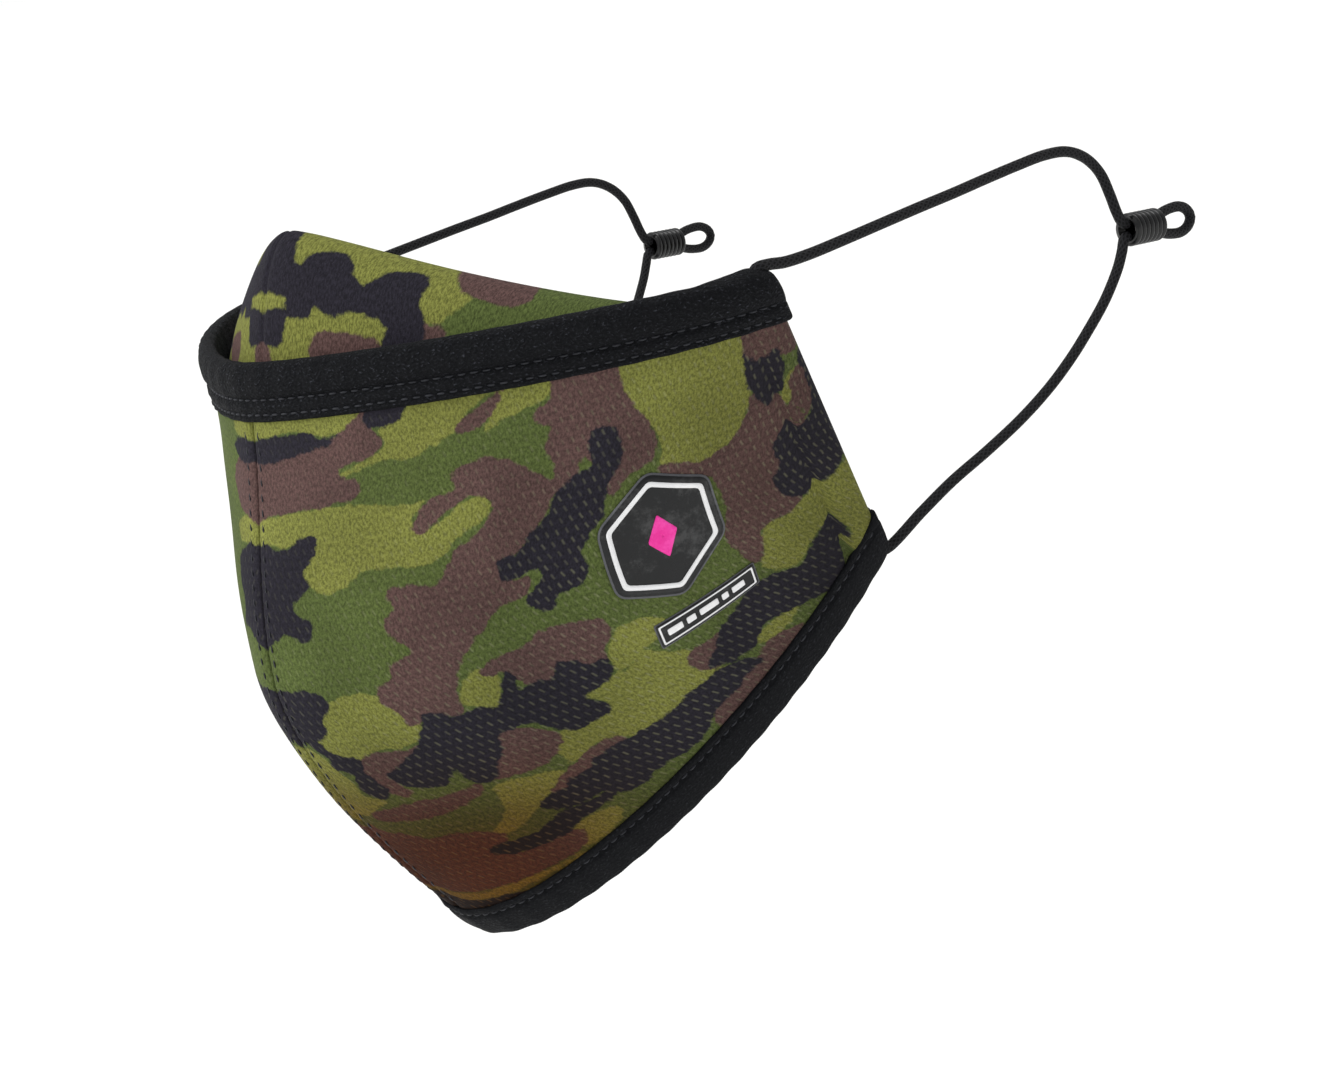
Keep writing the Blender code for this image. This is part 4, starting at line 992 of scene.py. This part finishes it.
def binding(name, t_edge, width, grooves, depths, swell, lift, tape):
    """A knit tape folded over an edge of the cup, drawn in along its rows of stitches."""
    _, sewing = props()
    half = 190
    overhang = 0.9 * MM
    at_rim = t_edge < 0.5
    s_half = np.linspace(0, 1, half)
    s = np.concatenate([-s_half[:0:-1], s_half])
    _, along, down = cup_frame(s, t_edge)
    inwards = unit(down) * (1 if at_rim else -1)
    walked = distances(cup(s, t_edge)[None], 1)[0]
    to_end = np.minimum(walked, walked[-1] - walked)
    inner_mid, inner_end = depths
    inner = inner_mid + (inner_end - inner_mid) * smooth(1 - (to_end - 8 * MM) / (10 * MM))

    def groove_at(d):
        return min(sum(np.exp(-((d - x) / GROOVE_SPREAD)**2) for x in grooves), 1)

    # The cross-section, one point at a time: distance in from the edge, height over the cup's outer
    # face, and how much of the stitches' pull it feels. First the outer face, up to the fold.
    profile = []
    outer_heights = []
    for d in np.linspace(width, 0, 26):
        groove = groove_at(d)
        plump = np.sin(np.pi * np.clip(d / grooves[0], 0, 1))**0.7 if d < grooves[0] else 0.35
        rim = 1 - np.exp(-((width - d) / (0.4 * MM)))
        height = TAPE_RISE + swell * plump - GROOVE_DEPTH * groove
        height = height * rim + 0.25 * MM * (1 - rim)
        outer_heights.append(height)
        profile.append((np.full(len(s), d), height + GROOVE_DEPTH * groove * smooth(1 - to_end / (5 * MM)),
                        groove))
    middle = (outer_heights[-1] - inner) / 2
    round_over = (outer_heights[-1] + inner) / 2
    for angle in np.linspace(0, np.pi, 13)[1:-1]:
        profile.append((-lift(to_end) * np.sin(angle), middle + round_over * np.cos(angle), 0))
    # Then the inner face, and the pocket that the cloth's edge sits in.
    for d in np.linspace(0, width, 22):
        groove = groove_at(d)
        profile.append((np.full(len(s), d), -inner + 0.35 * MM * groove, groove * -1))
    cavity = np.clip((to_end - 4 * MM) / (8 * MM), 0, 1)
    for d in np.linspace(width, 1.2 * MM, 6):
        profile.append((np.full(len(s), d - 0.2 * MM),
                        -inner * (1 - cavity) * 0.6 - (inner - 0.8 * MM) * cavity, 0))
    for d in np.linspace(1.2 * MM, width, 6):
        profile.append((np.full(len(s), d - 0.2 * MM), -0.2 * MM * cavity - inner * 0.4 * (1 - cavity), 0))
    profile_in, profile_out, weight = (np.array(part) for part in zip(*profile))
    profile_in, profile_out = profile_in.T, profile_out.T
    pucker = 0.13 * MM * np.cos(walked * 2 * np.pi / sewing.stitch_pitch)[:, None] * weight[None]
    rough = 0.12 * MM * np.sin(walked * 2 * np.pi / (7.3 * MM))[:, None] * (1 - np.abs(weight))[None]
    profile_out = profile_out + pucker + rough
    # Both ends are turned in and closed, so they are rounded off.
    closing = np.clip(to_end / (1.3 * MM), 0, 1)[:, None]
    rounded = np.sqrt(np.clip(1 - (1 - closing)**2, 0.02, 1))
    centre_out = ((outer_heights[12] - inner) / 2)[:, None]
    profile_out = centre_out + (profile_out - centre_out) * (0.35 + 0.65 * rounded)
    profile_in = width / 2 + (profile_in - width / 2) * (0.9 + 0.1 * rounded)
    # The tape follows the cup in from the edge, and stands straight out past it.
    bend = profile_in / np.linalg.norm(down, axis=1)[:, None]
    bend = np.clip(bend if at_rim else 1 - bend, 0, 1)
    spread_s = np.broadcast_to(s[:, None], bend.shape)
    below = np.clip(profile_in, None, 0)
    points = cup(spread_s, bend) + inwards[:, None] * below[..., None]
    points = points + cup_frame(spread_s, bend)[0] * profile_out[..., None]
    # The very ends stand a little proud of the ear edge.
    push = unit(along) * np.sign(s)[:, None] * (overhang * smooth(1 - to_end / (6 * MM)))[:, None]
    points = points + push[:, None]
    rows, columns = points.shape[:2]
    faces = grid_faces(rows, columns, not at_rim, wrap=True)
    first = tuple(range(columns))
    last = tuple((rows - 1) * columns + j for j in range(columns))
    faces += [first, last[::-1]] if at_rim else [first[::-1], last]
    made = mesh_object(name, points, faces, [finish(tape)], "mask")
    around = distances(points, 1)
    place = np.stack([np.broadcast_to(walked[:, None], around.shape), around], -1).reshape(-1, 2) / MM
    set_vectors(made, "cloth_place", np.column_stack([place, np.zeros(len(place))]))
    return made


def stitch_row(points, normals, radius, pitch, long):
    """(points, faces) of separate stitches along a line on the cloth."""
    walked = walked_along(points)
    count = int(walked[-1] / pitch)
    verts, faces = [], []
    shares = np.array([-0.5, -0.44, -0.25, 0, 0.25, 0.44, 0.5])
    sizes = np.array([0.25, 0.75, 1, 1.05, 1, 0.75, 0.25])
    sinks = np.array([-1.0, -0.45, 0.05, 0.2, 0.05, -0.45, -1.0])
    for k in range(count):
        middle = (k + 0.5) * walked[-1] / count
        wanted = middle + shares * long
        spine = at_distances(wanted, walked, points)
        up = unit(at_distances(wanted, walked, normals))
        run = unit(np.gradient(spine, axis=0))
        side = unit(np.cross(run, up))
        spine = spine + up * (sinks * radius * 1.2)[:, None]
        faces += tube_faces(len(shares), THREAD_SIDES, True, len(verts))
        for i in range(len(shares)):
            for a in np.linspace(0, 2 * np.pi, THREAD_SIDES, endpoint=False):
                verts.append(spine[i] + (side[i] * np.cos(a) + up[i] * np.sin(a)) * radius * sizes[i])
    return verts, faces


def stitches(name, rows, radius, pitch, long, replaced):
    all_points, all_faces = [], []
    for points, normals in rows:
        verts, faces = stitch_row(points, normals, radius, pitch, long)
        start = len(all_points)
        all_points += verts
        all_faces += [tuple(start + i for i in face) for face in faces]
    made = mesh_object(name, np.array(all_points), all_faces, [finish("black_sewing_thread")], "mask")
    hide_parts(*replaced)


def cup_line(s, t, out):
    s, t = np.broadcast_arrays(np.asarray(s, float), np.asarray(t, float))
    normal = cup_frame(s, t)[0]
    return cup(s, t) + normal * out, normal


# ---------------------------------------------------------------- cords and adjusters

def casing_ends():
    """The two ends of the left casing's middle line."""
    _, sewing = props()
    t = np.array((0.0, 1.0))
    return off_cup(inset_station(t, CORD_INSET), t, np.full(2, -CORD_DEPTH))


def adjuster_axes(loops):
    face = np.array(loops.barrel_face)
    run = unit(np.array(loops.barrel_run))
    above = unit(np.cross((1, 0, 0), run))
    return face, run, above if above[2] > 0 else -above


def ear_cord(word, side):
    """One elastic cord: out of the casing's top, through the adjuster, round its tail and back."""
    loops = bpy.context.scene.mask_loops
    face, run, above = adjuster_axes(loops)
    top, bottom = casing_ends()
    axis = unit(bottom - top)
    bore = above * loops.bore_spacing / 2
    end = face + run * loops.barrel_length
    route = [top + axis * 2 * MM]
    route += [np.array(p) * MM for p in UPPER_ROUTE]
    route += [face + bore - run * 1.0 * MM, face + bore + run * 3 * MM, end + bore - run * 2 * MM, end + bore]
    for reach, rise in TAIL_OUTLINE:
        route.append(end + run * loops.tail_reach * reach + above * loops.tail_width * rise)
    route += [end - bore, end - bore - run * 2 * MM, face - bore + run * 3 * MM, face - bore - run * 1.0 * MM]
    route += [np.array(p) * MM for p in LOWER_ROUTE]
    route.append(bottom - axis * 2.5 * MM)
    path = even_path(np.array(route), 1.0 * MM)
    path = mirror(path, side)
    rings, angles, walked = tube_rings(path, loops.cord_diameter / 2)
    rows, columns = rings.shape[:2]
    faces = tube_faces(rows, columns, True)
    made = mesh_object("ear_cord_" + word, rings, faces, [finish("black_braided_elastic")], None)
    along = np.repeat(walked / MM, columns)
    turn = np.tile(angles, rows)
    set_vectors(made, "cord_place", np.column_stack([along, turn, 0 * turn]))
    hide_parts(*[f"ear_cord_{word}_{part}" for part in ("upper", "lower", "tail")])
    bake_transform(made)


def adjuster(word, side):
    """A soft rubber barrel with rounded rings; the cord's two runs through it belong to the ear cord."""
    loops = bpy.context.scene.mask_loops
    face, run, above = adjuster_axes(loops)
    sideways = unit(np.cross(run, above))
    heights = np.linspace(0, 1, 99)
    ring_wave = np.abs(np.sin(np.pi * heights * loops.barrel_rings))**0.6
    radius = loops.barrel_radius - loops.ring_height * (1 - ring_wave)
    dome = np.sqrt(np.clip(1 - (1 - np.clip(np.minimum(heights, 1 - heights) / 0.05, 0, 1))**2, 0, 1))
    radius = radius * (0.86 + 0.14 * dome)
    angles = np.linspace(0, 2 * np.pi, 40, endpoint=False)
    rings = (face + run * (heights * loops.barrel_length)[:, None])[:, None] + radius[:, None, None] * (
        sideways * np.cos(angles)[:, None] + above * np.sin(angles)[:, None])
    rows, columns = rings.shape[:2]
    faces = tube_faces(rows, columns, True)
    if side < 0:
        faces = [f[::-1] for f in faces]
    made = mesh_object("adjuster_" + word, mirror(rings, side), faces, [finish("black_moulded_rubber")],
                       word + "_adjuster")
    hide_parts("cord_adjuster_" + word)


# ---------------------------------------------------------------- badge and strip

def on_badge(places, middle, tilt, out):
    """Points of the shell at places (x across, y up, in metres) from a patch's middle."""
    s, t = middle
    along = (cup(s + 0.01, t) - cup(s - 0.01, t)) / 0.02
    down = (cup(s, t + 0.01) - cup(s, t - 0.01)) / 0.02
    x = places[..., 0] * np.cos(tilt) - places[..., 1] * np.sin(tilt)
    y = places[..., 0] * np.sin(tilt) + places[..., 1] * np.cos(tilt)
    return off_cup(s + x / np.linalg.norm(along), t - y / np.linalg.norm(down), np.full(x.shape, out))


def closed_path(corners, radius, step=0.35 * MM):
    """A polygon with rounded corners, as points at even distances."""
    corners = np.asarray(corners, float)
    path = []
    for before, corner, after in zip(np.roll(corners, 1, 0), corners, np.roll(corners, -1, 0)):
        a = corner + unit(before - corner) * radius
        b = corner + unit(after - corner) * radius
        u = np.linspace(0, 1, 7)[:, None]
        path.append(a * (1 - u)**2 + corner * 2 * u * (1 - u) + b * u * u)
    path = np.concatenate(path)
    path = np.concatenate([path, path[:1]])
    walked = walked_along(path)
    return at_distances(np.arange(0, walked[-1], step), walked, path)


def ring_band(outer, inner, layers=3):
    shares = np.linspace(0, 1, layers)[:, None, None]
    return outer[None] * (1 - shares) + inner[None] * shares


def decal(name, bands, spot, layer, material_name, replaced=()):
    """A thin printed layer on the shell, from closed bands of places."""
    (middle, tilt), (out, thickness) = spot, FILM_LAYERS[layer]
    points, faces = [], []
    for band in bands:
        rows, columns = band.shape[:2]
        start = len(points)
        points += list(on_badge(band, middle, tilt, out).reshape(-1, 3))
        faces += grid_faces(rows, columns, False, start, wrap=True)
    made = mesh_object(name, np.array(points), faces, [finish(material_name)], "mask")
    thick = made.modifiers.new("Thickness", "SOLIDIFY")
    thick.thickness = thickness
    thick.offset = 1
    if replaced:
        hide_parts(*replaced)


def polygon(count, radius, turn=0.0, stretch=1.0):
    angles = np.arange(count) * 2 * np.pi / count + turn
    return np.column_stack([np.cos(angles) * radius * stretch, np.sin(angles) * radius])


def rectangle(width, height, centre=(0.0, 0.0)):
    x, y = centre
    return np.array([(x - width / 2, y - height / 2), (x + width / 2, y - height / 2),
                     (x + width / 2, y + height / 2), (x - width / 2, y + height / 2)])


def filled(path, layers=9):
    centre = path.mean(0)
    return ring_band(path, centre + (path - centre) * 0.01, layers)


# ---------------------------------------------------------------- operators

class MASK_OT_stage(Operator):
    """Sets up the camera, a plain pale floor and soft studio light"""
    bl_idname = "mask.stage"
    bl_label = "Stage"

    def execute(self, context):
        view = context.scene.mask_scene
        azimuth, elevation, roll = np.radians((view.azimuth, view.elevation, view.roll))
        back = Vector((np.sin(azimuth) * np.cos(elevation), -np.cos(azimuth) * np.cos(elevation),
                       np.sin(elevation)))
        level = Vector((np.cos(azimuth), np.sin(azimuth), 0))
        above = back.cross(level)
        right = level * np.cos(roll) - above * np.sin(roll)
        up = level * np.sin(roll) + above * np.cos(roll)
        data = bpy.data.cameras.new("photo_camera")
        data.lens = view.lens
        data.sensor_width = 36
        data.clip_start, data.clip_end = 0.01, 3000
        camera = bpy.data.objects.new("photo_camera", data)
        place = Vector(view.target) + back * view.distance
        camera.matrix_world = Matrix((right, up, back)).transposed().to_4x4()
        camera.location = place
        context.scene.collection.objects.link(camera)
        context.scene.camera = camera

        floor_finish, tree, shader = new_material("pale_floor", "matt painted board", Roughness=0.9)
        grain = noise(tree, add_node(tree, "ShaderNodeTexCoord").outputs["Object"], 9.0, 3.0)
        pale = srgb(view.floor_colour)
        tree.links.new(blend_colour(tree, grain, pale, tuple(c * 0.985 for c in pale[:3]) + (1,)),
                       shader.inputs["Base Color"])
        reach = 900.0  # metres from the middle to each edge, so that the floor meets the horizon
        z = -view.floor_drop
        corners = [(-reach, -reach, z), (reach, -reach, z), (reach, reach, z), (-reach, reach, z)]
        mesh_object("floor", np.array(corners), [(0, 1, 2, 3)], [floor_finish], None, False)

        context.scene.view_settings.view_transform = "Standard"
        world = bpy.data.worlds.new("studio")
        world.use_nodes = True
        background = world.node_tree.nodes["Background"]
        background.inputs[0].default_value = srgb("ffffff")
        # Brightest at the horizon, so that the floor has no visible end.
        sky = world.node_tree
        heading = add_node(sky, "ShaderNodeSeparateXYZ", {0: add_node(sky, "ShaderNodeTexCoord").outputs[0]})
        sky.links.new(ramp(sky, heading.outputs[2], 0.05, 0.25, 1.0, 0.5), background.inputs[1])
        context.scene.world = world
        # Two large soft lamps, far enough off to light the floor evenly: from the upper left, and above.
        for name, offset, spread, power in (("key", (-0.8, 0.5, 0.33), 0.5, 2.2),
                                            ("top", (0.1, 1.0, -0.1), 0.9, 0.7)):
            lamp = bpy.data.lights.new(name, "SUN")
            lamp.angle = spread
            lamp.energy = power
            made = bpy.data.objects.new(name, lamp)
            made.location = Vector(view.target) + right * offset[0] + up * offset[1] + back * offset[2]
            aim = Vector(view.target) - made.location
            made.rotation_mode = "QUATERNION"
            made.rotation_quaternion = aim.to_track_quat("-Z", "Y")
            context.scene.collection.objects.link(made)
        return {"FINISHED"}


class MASK_OT_ear_cords(Operator):
    """Lays the two elastic ear cords along their routes"""
    bl_idname = "mask.ear_cords"
    bl_label = "Ear cords"

    def execute(self, context):
        ear_cord("left", 1)
        ear_cord("right", -1)
        return {"FINISHED"}


class MASK_OT_adjusters(Operator):
    """Makes the ribbed rubber cord adjusters"""
    bl_idname = "mask.adjusters"
    bl_label = "Cord adjusters"

    def execute(self, context):
        adjuster("left", 1)
        adjuster("right", -1)
        return {"FINISHED"}


class MASK_OT_shell(Operator):
    """Makes the outer shell's two halves, with their ear casings"""
    bl_idname = "mask.shell"
    bl_label = "Outer shell"

    def execute(self, context):
        shell_half("left", 1)
        shell_half("right", -1)
        return {"FINISHED"}


class MASK_OT_liner(Operator):
    """Makes the liner's two halves, folded over along the top"""
    bl_idname = "mask.liner"
    bl_label = "Liner"

    def execute(self, context):
        liner_half("left", 1)
        liner_half("right", -1)
        return {"FINISHED"}


class MASK_OT_bindings(Operator):
    """Folds the knit tapes over the top rim and the bottom edge"""
    bl_idname = "mask.bindings"
    bl_label = "Bindings"

    def execute(self, context):
        _, sewing = props()

        def rim_lift(to_end):
            mouth = np.exp(-((to_end - 4.0 * MM) / (2.4 * MM))**2)
            return 1.3 * MM + 0.9 * MM * mouth

        def jaw_lift(to_end):
            return np.full(len(to_end), 1.4 * MM)

        top = binding("top_binding_tape", 0.0, sewing.top_width, TOP_STITCH_ROWS, (2.9 * MM, 5.0 * MM),
                      0.75 * MM, rim_lift, "black_rim_tape")
        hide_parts("top_binding", "casing_top_sleeve_left", "casing_top_sleeve_right",
                    "bar_tack_left", "bar_tack_right")
        low = binding("bottom_binding_tape", 1.0, sewing.bottom_width, (BOTTOM_STITCH_ROW,),
                      (4.1 * MM, 5.2 * MM), 0.35 * MM, jaw_lift, "black_jaw_tape")
        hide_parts("bottom_binding")
        for word, side in (("left", 1), ("right", -1)):
            self.corner_wrap(word, side)
        return {"FINISHED"}

    def corner_wrap(self, word, side):
        """The tape's end, wrapped round the lower end of the casing."""
        top, bottom = casing_ends()
        axis = unit(bottom - top)
        shares = np.array([0, 0.05, 0.12, 0.3, 0.5, 0.7, 0.85, 0.94, 1.0])
        grow = np.array([0.86, 0.97, 1.0, 1.0, 1.0, 1.0, 0.98, 0.9, 0.72])
        across = unit(ear_edge(1.0) - cup(inset_station(np.array(1.0), WRAP_REACH), 1.0))
        across = unit(across - axis * (across @ axis))
        thin = np.cross(axis, across)
        angles = np.linspace(0, 2 * np.pi, 28, endpoint=False)
        rings = []
        for share, size in zip(shares, grow):
            centre = bottom - axis * WRAP_REACH * (1 - share)
            wide, deep = WRAP_HALF_WIDTH * size, WRAP_HALF_DEPTH * size
            flat = np.sign(np.cos(angles)) * np.abs(np.cos(angles))**0.6
            spot = across * (flat * wide)[:, None] + thin * (np.sin(angles) * deep)[:, None]
            slant = axis * (flat * WRAP_SLANT * share)[:, None]
            rings.append(centre + spot - slant * 0.9)
        rings = np.array(rings)
        rows, columns = rings.shape[:2]
        faces = tube_faces(rows, columns, False)
        if side < 0:
            faces = [f[::-1] for f in faces]
        made = mesh_object("corner_wrap_" + word, mirror(rings, side), faces, [finish("black_jaw_tape")],
                           "mask")
        place = np.stack(np.meshgrid(np.arange(columns) * 1.0, shares * (WRAP_REACH / MM)), -1).reshape(-1, 2)
        set_vectors(made, "cloth_place", np.column_stack([place, np.zeros(len(place))]))
        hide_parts("casing_bottom_sleeve_" + word)


class MASK_OT_stitching(Operator):
    """Sews the rows of separate stitches"""
    bl_idname = "mask.stitching"
    bl_label = "Stitching"

    def execute(self, context):
        g, sewing = props()
        s = np.linspace(-0.985, 0.985, 500)
        rim = []
        drop_to_t = 1 / np.linalg.norm(cup_frame(s, 0.0)[2], axis=1)
        for drop in TOP_STITCH_ROWS:
            rim.append(cup_line(s, drop * drop_to_t, 0.52 * MM))
        args = (sewing.thread_radius, sewing.stitch_pitch, sewing.stitch_length)
        stitches("top_binding_stitches", rim, *args,
                 ("top_binding_stitching_upper", "top_binding_stitching_lower"))
        rise_to_t = 1 / np.linalg.norm(cup_frame(s, 1.0)[2], axis=1)
        jaw = [cup_line(s, 1 - BOTTOM_STITCH_ROW * rise_to_t, 0.46 * MM)]
        stitches("bottom_binding_stitches", jaw, *args, ("bottom_binding_stitching",))
        t = np.linspace(0.09, 0.93, 300)
        seam_rows = []
        for side in (1, -1):
            offset = 2.3 * MM / (3 * g.front_rounding)
            points, normals = cup_line(np.full(300, offset), t, 0.02 * MM)
            seam_rows.append((mirror(points, side), mirror(normals, side)))
        stitches("centre_seam_stitches", seam_rows, sewing.thread_radius * 0.7, 3.1 * MM, 2.0 * MM,
                 ("centre_seam_stitching_left", "centre_seam_stitching_right"))
        return {"FINISHED"}


class MASK_OT_patches(Operator):
    """Applies a plain badge and a plain strip to the left half"""
    bl_idname = "mask.patches"
    bl_label = "Badge and strip"

    def execute(self, context):
        sizes = context.scene.mask_patches
        r = sizes.badge_radius
        border = closed_path(polygon(6, r, np.pi / 6), 2.2 * MM)
        ground = closed_path(polygon(6, r * 0.965, np.pi / 6), 2.0 * MM)
        line_out = closed_path(polygon(6, r * 0.86, np.pi / 6), 1.0 * MM, 0.3 * MM)
        mark = closed_path(polygon(4, r * 0.34, np.pi / 2, 0.66), 0.5 * MM, 0.25 * MM)
        decal("badge_border", [filled(border)], BADGE_SPOT, "border", "film_border", ("emblem_patch",))
        decal("badge_ground", [filled(ground)], BADGE_SPOT, "ground", "black_film")
        decal("badge_line", [ring_band(line_out, line_out * 0.905)], BADGE_SPOT, "ink", "white_ink")
        decal("badge_mark", [filled(mark, 6)], BADGE_SPOT, "ink", "pink_ink")

        long, wide = sizes.strip_length, sizes.strip_width
        edge = closed_path(rectangle(long, wide), 0.4 * MM)
        ground = closed_path(rectangle(long - 0.5 * MM, wide - 0.5 * MM), 0.35 * MM)
        frame_out = closed_path(rectangle(long - 1.5 * MM, wide - 1.4 * MM), 0.2 * MM, 0.3 * MM)
        frame_in = frame_out * np.array((1 - 0.9 * MM / long, 1 - 0.9 * MM / wide))
        bars = []
        x = -long / 2 + 2.4 * MM
        for run, gap in ((3.6, 1.0), (2.2, 1.0), (4.6, 1.0), (1.6, 1.0), (3.2, 1.0)):
            shape = rectangle(run * MM, 1.5 * MM, (x + run * MM / 2, 0))
            bars.append(filled(closed_path(shape, 0.2 * MM, 0.3 * MM), 4))
            x += (run + gap) * MM
        decal("strip_border", [filled(edge)], STRIP_SPOT, "border", "film_border", ("label_strip",))
        decal("strip_ground", [filled(ground)], STRIP_SPOT, "ground", "black_film")
        decal("strip_lines", [ring_band(frame_out, frame_in), *bars], STRIP_SPOT, "ink", "white_ink")
        return {"FINISHED"}


class MASK_OT_inner_pieces(Operator):
    """Gives the filter, the nose wire and the cords in the casings their materials"""
    bl_idname = "mask.inner_pieces"
    bl_label = "Inner pieces"

    def execute(self, context):
        for node, name in (
            ("filter_insert", "melt_blown_fleece"),
            ("nose_wire", "annealed_steel"),
            ("ear_cord_left_in_casing", "black_sewing_thread"),
            ("ear_cord_right_in_casing", "black_sewing_thread"),
        ):
            piece = bpy.data.objects[node]
            piece.data.materials.clear()
            piece.data.materials.append(finish(name))
        return {"FINISHED"}


class MASK_PT_panel(Panel):
    """Sizes, colours and steps of the face mask"""
    bl_idname = "MASK_PT_panel"
    bl_label = "Face Mask"
    bl_space_type = "VIEW_3D"
    bl_region_type = "UI"
    bl_category = "Face Mask"

    def draw(self, context):
        for operator in STEPS:
            self.layout.operator(operator.bl_idname)
        for name in GROUPS:
            box = self.layout.box()
            group = getattr(context.scene, name)
            for key in group.bl_rna.properties.keys():
                if key not in ("rna_type", "name"):
                    box.prop(group, key)


STEPS = (MASK_OT_stage, MASK_OT_ear_cords, MASK_OT_adjusters, MASK_OT_shell, MASK_OT_liner,
         MASK_OT_bindings, MASK_OT_stitching, MASK_OT_patches, MASK_OT_inner_pieces)
GROUPS = {
    "mask_shape": FaceMaskShape,
    "mask_sewing": FaceMaskSewing,
    "mask_loops": FaceMaskLoops,
    "mask_patches": FaceMaskPatches,
    "mask_colours": FaceMaskColours,
    "mask_scene": FaceMaskScene,
}


def register():
    for kind in (*GROUPS.values(), *STEPS, MASK_PT_panel):
        bpy.utils.register_class(kind)
    for name, kind in GROUPS.items():
        setattr(bpy.types.Scene, name, PointerProperty(type=kind))


def unregister():
    for name in GROUPS:
        delattr(bpy.types.Scene, name)
    for kind in reversed((*GROUPS.values(), *STEPS, MASK_PT_panel)):
        bpy.utils.unregister_class(kind)


def run_step(step):
    group, name = step.bl_idname.split(".")
    if getattr(getattr(bpy.ops, group), name)() != {"FINISHED"}:
        raise RuntimeError(step.bl_label + " didn't finish")


def main():
    for old in list(bpy.data.objects):
        bpy.data.objects.remove(old, do_unlink=True)
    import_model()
    register()
    for step in STEPS:
        run_step(step)


if __name__ == "__main__":
    main()
